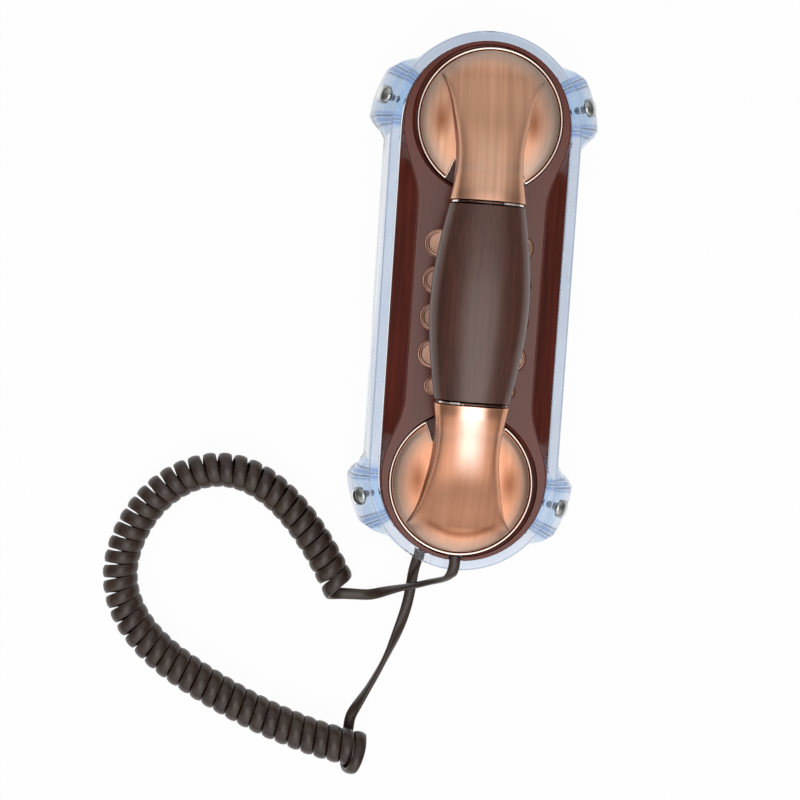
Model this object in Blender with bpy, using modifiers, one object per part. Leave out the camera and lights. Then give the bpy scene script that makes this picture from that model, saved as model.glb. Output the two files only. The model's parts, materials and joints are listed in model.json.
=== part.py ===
"""Slimline corded wall phone, resting on its back with the handset in its cradle.

The frame is the phone's own: +Z out of the face, +Y towards the ear end, origin at the middle of the back.
A wood-look face plate and a back cover make the body. A clear crystal surround goes round it, held by four
studs. The handset is two copper caps over dark cups, joined through chrome bands to a wood-look grip.
"""

import math

import bmesh
import bpy
from mathutils import Euler, Matrix, Vector

MM = 0.001
GAP = 0.3 * MM  # clearance between pieces that touch

# Body, seen from the front: half-round ends joined by straight sides
END_DISTANCE = 71.65 * MM  # from the middle of the body to the centre of each round end
BODY_RADIUS = 34.3 * MM
WALL = 2.2 * MM
BACK_THICKNESS = 3.0 * MM
WALL_FOOT = BACK_THICKNESS + GAP
EDGE_Z = 25.0 * MM  # where the face plate's wall turns into its sloping facets
PLATEAU_Z = 29.0 * MM
PLATEAU_WAIST = 26.0 * MM  # half width of the plateau between the cradle cups
WAIST_START = 40.0 * MM  # where the plateau begins to widen
WAIST_END = 70.0 * MM  # where it reaches its full width
ARC_STEPS = 14
SIDE_STATIONS = [y * MM for y in (66, 60, 54, 48, 42, 36, -36, -42, -48, -54, -60, -66)]

# Cradle cups
CRADLE_DISTANCE = 73.6 * MM
CRADLE_RADIUS = 30.5 * MM
CRADLE_FLOOR = 18.5 * MM
FLOOR_THICKNESS = 2.0 * MM

# Crystal surround and its lugs
CRYSTAL_DISTANCE = 71.25 * MM
CRYSTAL_TOP_RADIUS = 38.8 * MM
CRYSTAL_FOOT_RADIUS = 41.6 * MM
CRYSTAL_BORE = 34.7 * MM
CRYSTAL_TOP = 24.5 * MM
CRYSTAL_FOOT = 0.6 * MM
# A lug in radial cuts: angle from the X axis, reach of its foot, and reach, height of its shoulder and
# reach of its upper edge, in mm, all from the round end's centre
LUG_CUTS = [
    (-8.0, 41.2, 39.4, 17.3, 38.2),
    (4.5, 48.2, 45.6, 17.3, 38.8),
    (11.0, 48.1, 45.6, 17.3, 38.8),
    (17.5, 48.0, 45.6, 17.3, 38.8),
    (24.0, 48.0, 45.6, 17.3, 38.8),
    (30.0, 48.0, 45.6, 17.3, 38.8),
    (46.0, 40.8, 39.0, 17.3, 37.8),
]  # fmt: skip
STUD_ANGLE = math.radians(15.0)
STUD_REACH = 43.9 * MM
STUD_Z = 19.3 * MM

# Keys
KEY_COLUMNS = [x * MM for x in (-16, 0, 16)]
KEY_ROWS = [y * MM for y in (23.25, 8.3, -6.65, -21.6)]
KEY_HOLE = 5.9 * MM
KEY_RADIUS = 5.5 * MM
FUNCTION_ROW = -34.6 * MM
FUNCTION_COLUMNS = [x * MM for x in (-14.6, 0, 14.6)]
FUNCTION_HOLE = 3.9 * MM
FUNCTION_RADIUS = 3.5 * MM
KEYPAD_CEILING = 26.0 * MM
KEY_FLANGE_Z = 24.7 * MM
KEY_FLANGE_LIP = 1.0 * MM

# Handset
HANDSET_TURN = math.radians(-0.73)  # it lies a little turned in its cradle
HANDSET_SHIFT = (0.0, -0.1 * MM)
GRIP_Z = 57.5 * MM
GRIP_HALF_LENGTH = 37.9 * MM
GRIP_END = (14.8 * MM, 10.0 * MM)  # half width and half thickness at the ends
GRIP_MIDDLE = (19.3 * MM, 13.0 * MM)
BAND = (38.2 * MM, 39.3 * MM)
CAP_START = 39.6 * MM
BAR_RADIUS = 4.0 * MM
BAR_HALF_LENGTH = 44.0 * MM
CUP_RADIUS = 29.2 * MM
CUP_BASE = 19.2 * MM
CUP_FLOOR = 20.8 * MM
CUP_RIM = 28.3 * MM
CUP_WALL = 1.8 * MM
DISC_RADIUS = 28.0 * MM
DISC_BASE = CUP_RIM + GAP
DISC_FLAT = 50.0 * MM  # the disc is cut flat this far from the middle, under the neck
TRIM_RADIUS = 28.95 * MM
TRIM_TUBE = 0.55 * MM
TRIM_Z = 29.35 * MM
TRIM_OPEN = math.radians(36)  # half of the trim ring's opening at the neck
HANDSET_SCREW_Y = 56.0 * MM

# The strip that bridges each cap, in mm, from the grip outwards:
# distance from the middle, half width, height of its top, height of its crown, height of its foot
CAP_STATIONS = [
    (39.6, 14.7, 67.3, 9.7, 57.4),
    (43.5, 14.0, 66.9, 8.8, 55.6),
    (46.5, 13.5, 66.1, 8.0, 51.2),
    (48.6, 13.2, 65.4, 7.4, 43.5),
    (49.8, 13.0, 64.9, 7.1, 35.0),
    (50.5, 12.9, 64.6, 7.0, 29.3),
    (56.0, 12.7, 62.2, 6.3, 29.3),
    (62.0, 13.0, 58.9, 5.6, 29.3),
    (68.0, 13.9, 54.9, 5.0, 29.3),
    (74.0, 15.1, 50.2, 4.4, 29.3),
    (80.0, 16.4, 45.0, 3.8, 29.3),
    (85.0, 18.0, 40.5, 3.2, 29.3),
    (89.0, 20.0, 36.8, 2.5, 29.3),
    (91.5, 20.6, 34.5, 1.9, 29.3),
    (94.0, 16.0, 32.5, 1.3, 29.3),
    (96.0, 9.0, 31.2, 0.8, 29.3),
]
# The dark shell under each neck, in mm: distance, half width, top, underside, depth of its rounding
NECK_STATIONS = [
    (39.6, 14.6, 57.0, 47.5, 9.3),
    (43.5, 13.9, 54.9, 46.4, 7.0),
    (46.0, 13.4, 51.3, 43.0, 6.0),
    (47.2, 13.2, 47.3, 36.0, 5.0),
    (47.8, 13.1, 45.1, 26.8, 0.5),
    (48.8, 13.0, 39.7, 26.8, 0.5),
    (49.4, 12.9, 35.5, 26.8, 0.5),
]

# Flat cord
CORD_WIDTH = 4.3 * MM
CORD_THICKNESS = 2.4 * MM
COIL_RADIUS = 6.05 * MM  # to the middle of the cord's thickness
COIL_TURNS = 49
COIL_STEPS = 8  # points a turn
COIL_START_SLACK = 4.5 * MM  # the first half turn is drawn out towards the handset lead
COIL_SWELL = 0.35 * MM  # the second half of the coil is a little wider
COIL_END_PULL = 9.5 * MM  # the end of the last turn goes back under the coil
COIL_END_SWELL = 2.7 * MM  # and passes round the turns before it
COIL_END_LIFT = 2.9 * MM  # which lie on the base lead
PLUG_SIZE = (7.7 * MM, 11.3 * MM, 5.6 * MM)
PLUG_CLEARANCE = 0.35 * MM
BASE_JACK_X = -15.0 * MM
CORD_PORT_FOOT = 2.4 * MM
CORD_PORT_TOP = 9.6 * MM

# Middle of the coil, in mm, on the surface that the phone lies on
COIL_ROUTE = [
    (-48.1, -122.8), (-56.6, -108.3), (-69.9, -91.3), (-86.4, -79.4), (-104.0, -76.8),
    (-121.4, -84.4), (-134.2, -99.6), (-140.4, -119.5), (-136.8, -137.3), (-124.5, -153.2),
    (-105.7, -165.8), (-82.7, -177.6), (-60.2, -186.0), (-32.0, -191.9),
]  # fmt: skip
# Flat leads, in mm: x, y, z of the middle, and which way the flat face looks, in degrees from
# straight up (0) over sideways (90) to straight down (180)
HANDSET_LEAD_ROUTE = [
    (-1.2, -103.9, 26.3, 0), (-1.0, -105.9, 26.4, 0), (-0.9, -107.8, 26.4, 0), (-1.0, -110.2, 26.4, 5),
    (-1.4, -112.6, 24.3, 25), (-2.9, -114.5, 20.6, 55), (-5.7, -116.1, 16.7, 75), (-10.1, -117.8, 12.8, 85),
    (-14.9, -119.6, 9.6, 90), (-20.1, -121.3, 7.3, 98), (-24.8, -122.9, 5.6, 113), (-29.5, -124.6, 3.8, 140),
    (-33.6, -126.1, 2.2, 167),
]  # fmt: skip
BASE_LEAD_ROUTE = [
    (-15.0, -102.3, 6.2, 0), (-15.3, -106.4, 6.2, 0), (-16.3, -111.0, 5.2, 0), (-17.1, -115.6, 3.0, 0),
    (-17.5, -120.4, 1.5, 0), (-18.2, -126.0, 1.3, 0), (-19.3, -132.0, 1.4, 5), (-21.6, -140.0, 1.9, 25),
    (-25.0, -149.5, 2.6, 65), (-28.8, -158.2, 2.6, 90), (-33.0, -166.7, 2.4, 104), (-36.9, -173.8, 1.9, 135),
    (-39.2, -178.2, 1.4, 170),
]  # fmt: skip


def clear_scene():
    for old in list(bpy.data.objects):
        bpy.data.objects.remove(old, do_unlink=True)


def new_collection(name):
    collection = bpy.data.collections.new(name)
    bpy.context.scene.collection.children.link(collection)
    return collection


def material(name, color, roughness, metallic=0.0, alpha=1.0):
    made = bpy.data.materials.new(name)
    made.use_nodes = True
    shader = made.node_tree.nodes["Principled BSDF"]
    shader.inputs["Base Color"].default_value = (*color, 1.0)
    shader.inputs["Roughness"].default_value = roughness
    shader.inputs["Metallic"].default_value = metallic
    shader.inputs["Alpha"].default_value = alpha
    made.diffuse_color = (*color, alpha)
    return made


def piece(name, bm, finish, collection):
    """A mesh object from a bmesh, which it uses up."""
    mesh = bpy.data.meshes.new(name)
    bm.to_mesh(mesh)
    bm.free()
    mesh.shade_smooth()
    mesh.set_sharp_from_angle(angle=math.radians(35))
    if finish:
        mesh.materials.append(finish)
    made = bpy.data.objects.new(name, mesh)
    collection.objects.link(made)
    if collection == CUTTERS:
        made.hide_render = True
        made.display_type = "WIRE"
    return made


def loft(rings, closed=False):
    """A solid through rings that all have the same number of points."""
    bm = bmesh.new()
    loops = [[bm.verts.new(point) for point in ring] for ring in rings]
    count = len(loops[0])
    pairs = list(zip(loops, loops[1:]))
    if closed:
        pairs.append((loops[-1], loops[0]))
    for low, high in pairs:
        for i in range(count):
            j = (i + 1) % count
            bm.faces.new((low[i], low[j], high[j], high[i]))
    if not closed:
        bm.faces.new(loops[0])
        bm.faces.new(loops[-1])
    bmesh.ops.recalc_face_normals(bm, faces=bm.faces)
    return bm


def turned(name, profile, finish, collection, steps=32):
    """A solid of revolution about Z. The profile runs from the top down its outer side to the bottom."""
    bm = bmesh.new()
    points = [bm.verts.new((radius, 0, z)) for radius, z in profile]
    for upper, lower in zip(points, points[1:]):
        bm.edges.new((upper, lower))
    made = piece(name, bm, finish, collection)
    screw = made.modifiers.new("Turn", "SCREW")
    screw.axis = "Z"
    screw.steps = screw.render_steps = steps
    screw.use_merge_vertices = True
    screw.merge_threshold = 0.01 * MM
    screw.use_smooth_shade = True
    return made


def box(name, low, high, finish, collection):
    bm = bmesh.new()
    size = Vector(high) - Vector(low)
    centre = (Vector(high) + Vector(low)) / 2
    bmesh.ops.create_cube(bm, size=1.0, matrix=Matrix.Translation(centre) @ Matrix.Diagonal((*size, 1.0)))
    return piece(name, bm, finish, collection)


def rod(name, start, end, radius, finish, collection, steps=16):
    """A straight round bar between two points."""
    start, end = Vector(start), Vector(end)
    bm = bmesh.new()
    turn = (end - start).to_track_quat("Z", "Y").to_matrix().to_4x4()
    bmesh.ops.create_cone(
        bm, cap_ends=True, segments=steps, radius1=radius, radius2=radius,
        depth=(end - start).length, matrix=Matrix.Translation((start + end) / 2) @ turn,
    )  # fmt: skip
    return piece(name, bm, finish, collection)


def combine(target, other, operation="DIFFERENCE"):
    """Cuts other from target, or joins it on, with other kept as a hidden cutter."""
    boolean = target.modifiers.new(f"{operation.title()} {other.name}", "BOOLEAN")
    boolean.operation = operation
    boolean.object = other
    return target


def plateau_half_width(y, radius, waist):
    """Half width of the body's outline beside its straight sides, drawn in at the waist."""
    share = min(max((abs(y) - WAIST_START) / (WAIST_END - WAIST_START), 0.0), 1.0)
    return waist + (radius - waist) * share * share * (3 - 2 * share)


def long_ring(radius, z, distance=END_DISTANCE, waist=None):
    """One ring round the body at height z: two half-round ends, and sides that a waist may draw in."""
    points = []
    for end in (1, -1):
        for step in range(ARC_STEPS + 1):
            angle = math.pi * step / ARC_STEPS
            x, y = radius * math.cos(angle), distance + radius * math.sin(angle)
            points.append((end * x, end * y, z))
        for y in SIDE_STATIONS:
            half = radius if waist is None else plateau_half_width(y, radius, waist)
            points.append((-end * half, end * y, z))
    return points


def make_face_plate():
    """The front moulding: wall, facets, plateau, two cradle cups, key holes and screw bosses."""
    plate = piece("face_plate", loft([
        long_ring(BODY_RADIUS, WALL_FOOT),
        long_ring(BODY_RADIUS, EDGE_Z - 0.3 * MM),
        long_ring(BODY_RADIUS - 0.3 * MM, EDGE_Z + 0.2 * MM),
        long_ring(BODY_RADIUS - 0.5 * MM, PLATEAU_Z - 0.4 * MM, waist=PLATEAU_WAIST + 0.2 * MM),
        long_ring(BODY_RADIUS - 0.9 * MM, PLATEAU_Z, waist=PLATEAU_WAIST - 0.3 * MM),
    ]), WOOD, PARTS)  # fmt: skip
    under_floor = CRADLE_FLOOR - FLOOR_THICKNESS
    inside = piece("cut_inside", loft([
        long_ring(BODY_RADIUS - WALL, 0.0),
        long_ring(BODY_RADIUS - WALL, under_floor),
    ]), None, CUTTERS)  # fmt: skip
    combine(plate, inside)
    combine(plate, box("cut_keypad", (-23.5 * MM, -42 * MM, 10 * MM),
                       (23.5 * MM, 42 * MM, KEYPAD_CEILING), None, CUTTERS))  # fmt: skip
    for name, y in (("ear", CRADLE_DISTANCE), ("mouth", -CRADLE_DISTANCE)):
        cup = turned(f"cut_cradle_{name}", [
            (0, PLATEAU_Z + 5 * MM), (CRADLE_RADIUS, PLATEAU_Z + 5 * MM),
            (CRADLE_RADIUS, CRADLE_FLOOR + 1.5 * MM), (CRADLE_RADIUS - 1.5 * MM, CRADLE_FLOOR), (0, CRADLE_FLOOR),
        ], None, CUTTERS, steps=40)  # fmt: skip
        cup.location.y = y
        combine(plate, cup)
    for index, (x, y, hole) in enumerate(key_places()):
        combine(plate, rod(f"cut_key_{index}", (x, y, 20 * MM), (x, y, 35 * MM), hole, None, CUTTERS, 14))
    for index, (x, y) in enumerate(boss_places()):
        boss = rod(f"boss_{index}", (x, y, WALL_FOOT + 0.4 * MM), (x, y, under_floor + 0.7 * MM),
                   3.2 * MM, None, CUTTERS, 14)  # fmt: skip
        combine(plate, boss, "UNION")
        combine(plate, rod(f"cut_boss_{index}", (x, y, 0), (x, y, 12 * MM), 1.5 * MM, None, CUTTERS, 10))
    combine(plate, rod("cut_plunger", (*PLUNGER_PLACE, 10 * MM), (*PLUNGER_PLACE, 25 * MM), 3.0 * MM, None, CUTTERS))
    notch_x = HANDSET_LEAD_ROUTE[1][0] * MM
    combine(plate, box("cut_lead_notch", (notch_x - 3.2 * MM, -112 * MM, 24.7 * MM),
                       (notch_x + 3.2 * MM, -100 * MM, 40 * MM), None, CUTTERS))  # fmt: skip
    combine(plate, cord_port("cut_plate_port"))
    return plate


def cord_port(name):
    """Cutter for the port that the base lead's plug goes through, at the mouth end."""
    return box(name, (BASE_JACK_X - 4.6 * MM, -120 * MM, -5 * MM),
               (BASE_JACK_X + 4.6 * MM, -93 * MM, CORD_PORT_TOP), None, CUTTERS)  # fmt: skip


def make_back_cover():
    """A flat back with a rim that sits inside the face plate's wall, and two keyholes to hang it by."""
    cover = piece("back_cover", loft([
        long_ring(BODY_RADIUS - 0.5 * MM, 0.0),
        long_ring(BODY_RADIUS, 0.5 * MM),
        long_ring(BODY_RADIUS, BACK_THICKNESS),
        long_ring(BODY_RADIUS - WALL - 0.4 * MM, BACK_THICKNESS),
        long_ring(BODY_RADIUS - WALL - 0.4 * MM, BACK_THICKNESS + 2.5 * MM),
        long_ring(BODY_RADIUS - WALL - 1.9 * MM, BACK_THICKNESS + 2.5 * MM),
        long_ring(BODY_RADIUS - WALL - 1.9 * MM, BACK_THICKNESS - 0.6 * MM),
    ]), BACK_PLASTIC, PARTS)  # fmt: skip
    for name, y in KEYHOLES:
        combine(cover, rod(f"cut_{name}", (0, y, -5 * MM), (0, y, 5 * MM), KEYHOLE_HEAD, None, CUTTERS, 20))
        combine(cover, box(f"cut_{name}_slot", (-KEYHOLE_SLOT, y, -5 * MM),
                           (KEYHOLE_SLOT, y + KEYHOLE_REACH, 5 * MM), None, CUTTERS))  # fmt: skip
    for index, (x, y) in enumerate(boss_places()):
        hole = turned(f"cut_screw_{index}", [
            (0, 8 * MM), (1.5 * MM, 8 * MM), (1.5 * MM, 1.9 * MM), (3.1 * MM, 1.9 * MM), (3.1 * MM, -5 * MM),
            (0, -5 * MM),
        ], None, CUTTERS, steps=12)  # fmt: skip
        hole.location = (x, y, 0)
        combine(cover, hole)
    line_x, line_y = LINE_JACK_PLACE
    combine(cover, box("cut_line_jack", (line_x - 5.3 * MM, line_y - 4.3 * MM, -5 * MM),
                       (line_x + 5.3 * MM, line_y + 4.3 * MM, 5 * MM), None, CUTTERS))  # fmt: skip
    combine(cover, box("cut_cover_port", (BASE_JACK_X - 5.7 * MM, -120 * MM, CORD_PORT_FOOT),
                       (BASE_JACK_X + 5.7 * MM, -93 * MM, CORD_PORT_TOP), None, CUTTERS))  # fmt: skip
    return cover


KEYHOLE_HEAD = 4.5 * MM
KEYHOLE_SLOT = 2.5 * MM
KEYHOLE_REACH = 9.5 * MM
KEYHOLES = [("keyhole_upper", 36.0 * MM), ("keyhole_lower", -47.0 * MM)]  # 83 mm apart
LINE_JACK_PLACE = (14.0 * MM, -84.0 * MM)
PLUNGER_PLACE = (0.0, 84.0 * MM)


def key_places():
    """x, y and hole radius of every key, number keys first."""
    numbers = [(x, y, KEY_HOLE) for y in KEY_ROWS for x in KEY_COLUMNS]
    return numbers + [(x, FUNCTION_ROW, FUNCTION_HOLE) for x in FUNCTION_COLUMNS]


def boss_places():
    return [(side * x, y) for x, y in ((18 * MM, 82 * MM), (20 * MM, -66 * MM)) for side in (-1, 1)]


def lug_out(side, end, angle):
    """The way out from a round end's centre, at an angle from the X axis."""
    return Vector((side * math.cos(angle), end * math.sin(angle), 0))


def make_lug(name, side, end):
    """A sloping lug that follows the round end. Its outer cuts run out inside the surround."""
    centre = Vector((0, end * CRYSTAL_DISTANCE, 0))
    foot, top = CRYSTAL_FOOT + 0.4 * MM, CRYSTAL_TOP - 0.7 * MM
    rings = []
    for angle, outer, shoulder, shoulder_z, upper in LUG_CUTS:
        out = lug_out(side, end, math.radians(angle))
        rings.append([
            centre + out * reach * MM + Vector((0, 0, z))
            for reach, z in ((36.4, foot), (outer, foot), (shoulder, shoulder_z * MM), (upper, top), (36.4, top))
        ])  # fmt: skip
    return piece(name, loft(rings), None, CUTTERS)


def stud_turn(side, end):
    """Where a lug's stud sits, and the turn that points its axis out of the slope."""
    out = lug_out(side, end, STUD_ANGLE)
    axis = (out + Vector((0, 0, 1))).normalized()
    centre = Vector((0, end * CRYSTAL_DISTANCE, 0))
    return centre + out * STUD_REACH + Vector((0, 0, STUD_Z)), axis.to_track_quat("Z", "Y")


def make_crystal_surround():
    """The clear ring round the body, wider at its foot, with four lugs that hold studs."""
    surround = piece("crystal_surround", loft([
        long_ring(CRYSTAL_FOOT_RADIUS, CRYSTAL_FOOT, CRYSTAL_DISTANCE),
        long_ring(CRYSTAL_TOP_RADIUS, CRYSTAL_TOP - 0.6 * MM, CRYSTAL_DISTANCE),
        long_ring(CRYSTAL_TOP_RADIUS - 0.6 * MM, CRYSTAL_TOP, CRYSTAL_DISTANCE),
        long_ring(CRYSTAL_BORE + 0.3 * MM, CRYSTAL_TOP, END_DISTANCE),
        long_ring(CRYSTAL_BORE, CRYSTAL_TOP - 0.3 * MM, END_DISTANCE),
        long_ring(CRYSTAL_BORE, CRYSTAL_FOOT, END_DISTANCE),
    ], closed=True), CRYSTAL, PARTS)  # fmt: skip
    corners = [(side, end) for end in (1, -1) for side in (-1, 1)]
    for index, (side, end) in enumerate(corners, 1):
        combine(surround, make_lug(f"lug_{index}", side, end), "UNION")
    for index, (side, end) in enumerate(corners, 1):
        place, turn = stud_turn(side, end)
        hole = turned(f"cut_stud_{index}", [
            (0, 6 * MM), (4.2 * MM, 6 * MM), (4.2 * MM, -0.9 * MM), (1.8 * MM, -0.9 * MM), (1.8 * MM, -8.9 * MM),
            (0, -8.9 * MM),
        ], None, CUTTERS, steps=14)  # fmt: skip
        hole.location = place
        hole.rotation_euler = turn.to_euler()
        combine(surround, hole)
        stud = turned(f"lug_stud_{index}", [
            (0, 1.3 * MM), (1.4 * MM, 1.15 * MM), (2.7 * MM, 0.7 * MM), (3.6 * MM, 0.0), (3.9 * MM, -0.6 * MM),
            (1.5 * MM, -0.6 * MM), (1.5 * MM, -8.6 * MM), (0, -8.6 * MM),
        ], CHROME, PARTS, steps=14)  # fmt: skip
        stud.location = place
        stud.rotation_euler = turn.to_euler()
    combine(surround, cord_port("cut_surround_port"))
    return surround


def make_key(name, place, radius, finish):
    """A domed key with a bevelled rim, kept in by a flange under the face plate. Its origin is on its axis."""
    lip = radius + KEY_FLANGE_LIP
    base = KEY_FLANGE_Z - PLATEAU_Z
    key = turned(name, [
        (0, 1.7 * MM), (0.5 * radius, 1.5 * MM), (0.85 * radius, 1.0 * MM), (radius, 0.2 * MM),
        (radius, base + 0.9 * MM), (lip, base + 0.9 * MM), (lip, base), (0, base),
    ], finish, PARTS, steps=14)  # fmt: skip
    key.location = (*place, PLATEAU_Z)
    return key


def make_keys():
    names = ["key_1", "key_2", "key_3", "key_4", "key_5", "key_6", "key_7", "key_8", "key_9",
             "key_star", "key_0", "key_hash", "key_mute", "key_flash", "key_redial"]  # fmt: skip
    for name, (x, y, hole) in zip(names, key_places()):
        radius = KEY_RADIUS if hole == KEY_HOLE else FUNCTION_RADIUS
        make_key(name, (x, y), radius, COPPER)


def make_inner_works():
    """What the body holds: keypad mat, circuit board, hook switch and plunger, ringer and the two jacks."""
    mat = box("keypad_mat", (-22.5 * MM, -40.5 * MM, 20.9 * MM), (22.5 * MM, 30.5 * MM, 22.0 * MM), RUBBER, PARTS)
    for index, (x, y, hole) in enumerate(key_places()):
        pad = rod(f"pad_{index}", (x, y, 21.5 * MM), (x, y, 23.1 * MM), 0.6 * hole, None, CUTTERS, 8)
        combine(mat, pad, "UNION")
    box("circuit_board", (-22.5 * MM, -41 * MM, 19.0 * MM), (22.5 * MM, 41 * MM, 20.6 * MM), BOARD, PARTS)
    x, y = PLUNGER_PLACE
    box("hook_switch", (x - 7 * MM, y - 4 * MM, BACK_THICKNESS - 0.3 * MM), (x + 7 * MM, y + 4 * MM, 8.5 * MM),
        BLACK_PLASTIC, PARTS)  # fmt: skip
    plunger = turned("hook_plunger", [
        (0, 0), (1.6 * MM, -0.2 * MM), (2.6 * MM, -1.0 * MM), (2.6 * MM, -6.0 * MM), (4.2 * MM, -6.0 * MM),
        (4.2 * MM, -7.2 * MM), (2.0 * MM, -7.2 * MM), (2.0 * MM, -9.8 * MM), (0, -9.8 * MM),
    ], BLACK_PLASTIC, PARTS, steps=12)  # fmt: skip
    plunger.location = (x, y, CUP_BASE - GAP)
    ringer = turned("ringer", [
        (0, 10 * MM), (3 * MM, 10 * MM), (3 * MM, 9.0 * MM), (11.4 * MM, 9.0 * MM), (12 * MM, 8.4 * MM),
        (12 * MM, 2.7 * MM), (0, 2.7 * MM),
    ], BLACK_PLASTIC, PARTS, steps=18)  # fmt: skip
    ringer.location = (0, 60 * MM, 0)
    make_jack("cord_jack", BASE_JACK_X, (-96.0 * MM, -84.0 * MM), (2.7 * MM, 10.6 * MM), (3.1 * MM, 9.4 * MM))
    line_x, line_y = LINE_JACK_PLACE
    line_jack = box("line_jack", (line_x - 6.8 * MM, line_y - 5.8 * MM, 2.7 * MM),
                    (line_x + 6.8 * MM, line_y + 5.8 * MM, 15.5 * MM), BLACK_PLASTIC, PARTS)  # fmt: skip
    combine(line_jack, box("cut_line_socket", (line_x - 4.9 * MM, line_y - 3.9 * MM, 0),
                           (line_x + 4.9 * MM, line_y + 3.9 * MM, 14 * MM), None, CUTTERS))  # fmt: skip


def make_jack(name, x, y_range, z_range, socket):
    """A socket that opens towards -Y for a modular plug."""
    jack = box(name, (x - 5.3 * MM, y_range[0], z_range[0]), (x + 5.3 * MM, y_range[1], z_range[1]),
               BLACK_PLASTIC, PARTS)  # fmt: skip
    half = PLUG_SIZE[0] / 2 + PLUG_CLEARANCE
    cut = box(f"cut_{name}", (x - half, y_range[0] - 5 * MM, socket[0]),
              (x + half, y_range[1] - 2.5 * MM, socket[1]), None, CUTTERS)  # fmt: skip
    return combine(jack, cut), cut


def make_screw(name, place, length, head_radius, collection_finish):
    """A pan-head screw that stands head down."""
    screw = turned(name, [
        (0, length), (1.1 * MM, length - 1.0 * MM), (1.1 * MM, 1.3 * MM),
        (head_radius, 1.3 * MM), (head_radius, 0.5 * MM), (0.7 * head_radius, 0), (0, 0),
    ], collection_finish, PARTS, steps=10)  # fmt: skip
    screw.location = place
    return screw


def ring_section(half_width, half_height, y, z, steps=20, squareness=2.3):
    """A soft oval across the handset at y."""
    points = []
    for step in range(steps):
        angle = 2 * math.pi * step / steps
        c, s = math.cos(angle), math.sin(angle)
        x = half_width * math.copysign(abs(c) ** (2 / squareness), c)
        dz = half_height * math.copysign(abs(s) ** (2 / squareness), s)
        points.append((x, y, z + dz))
    return points


def grip_half_sizes(y):
    """The grip's half width and half thickness, fullest in the middle."""
    share = math.cos(math.pi / 2 * y / GRIP_HALF_LENGTH)
    return [end + (middle - end) * share for end, middle in zip(GRIP_END, GRIP_MIDDLE)]


def make_grip(pivot):
    stations = [GRIP_HALF_LENGTH * step / 5 for step in range(-5, 6)]
    grip = piece("grip_sleeve", loft([
        ring_section(*grip_half_sizes(y), y, GRIP_Z) for y in stations
    ]), DARK_WOOD, PARTS)  # fmt: skip
    bore = (0, -60 * MM, GRIP_Z), (0, 60 * MM, GRIP_Z)
    combine(grip, hang(rod("cut_grip_bore", *bore, BAR_RADIUS + GAP, None, CUTTERS), pivot))
    hang(grip, pivot)
    bar = rod("weight_bar", (0, -BAR_HALF_LENGTH, GRIP_Z), (0, BAR_HALF_LENGTH, GRIP_Z), BAR_RADIUS, STEEL, PARTS)
    hang(bar, pivot)
    for name, end in (("ear", 1), ("mouth", -1)):
        half_width, half_height = GRIP_END
        band = piece(f"chrome_band_{name}", loft([
            ring_section(half_width - 0.2 * MM, half_height - 0.2 * MM, end * BAND[0], GRIP_Z),
            ring_section(half_width - 0.2 * MM, half_height - 0.2 * MM, end * BAND[1], GRIP_Z),
        ]), CHROME, PARTS)  # fmt: skip
        combine(band, hang(rod(f"cut_band_{name}", *bore, BAR_RADIUS + GAP, None, CUTTERS), pivot))
        hang(band, pivot)


def hang(child, pivot):
    child.parent = pivot
    return child


def arch(half_width, wall_z, tip_z, y, steps=10, squareness=2.3):
    """Half of a soft oval, from one wall over the tip to the other wall."""
    points = []
    for step in range(steps + 1):
        angle = math.pi * step / steps
        c, s = math.cos(angle), math.sin(angle)
        x = half_width * math.copysign(abs(c) ** (2 / squareness), c)
        points.append((x, y, wall_z + (tip_z - wall_z) * s ** (2 / squareness)))
    return points


def cap_strip(end):
    """The copper strip that rises from the disc's far side, over it, to the grip."""
    rings = []
    for distance, half, top, crown, foot in CAP_STATIONS:
        y, half, top, crown, foot = (value * MM for value in (end * distance, half, top, crown, foot))
        rings.append([(half, y, foot), *arch(half, top - crown, top, y), (-half, y, foot)])
    return loft(rings)


def neck_shell(end):
    """The dark shell under the neck, from the grip down to the cup."""
    rings = []
    for distance, half, top, under, depth in NECK_STATIONS:
        y, half, top, under, depth = (value * MM for value in (end * distance, half, top, under, depth))
        rings.append([(half, y, top), *arch(half, under + depth, under, y), (-half, y, top)])
    return loft(rings)


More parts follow.
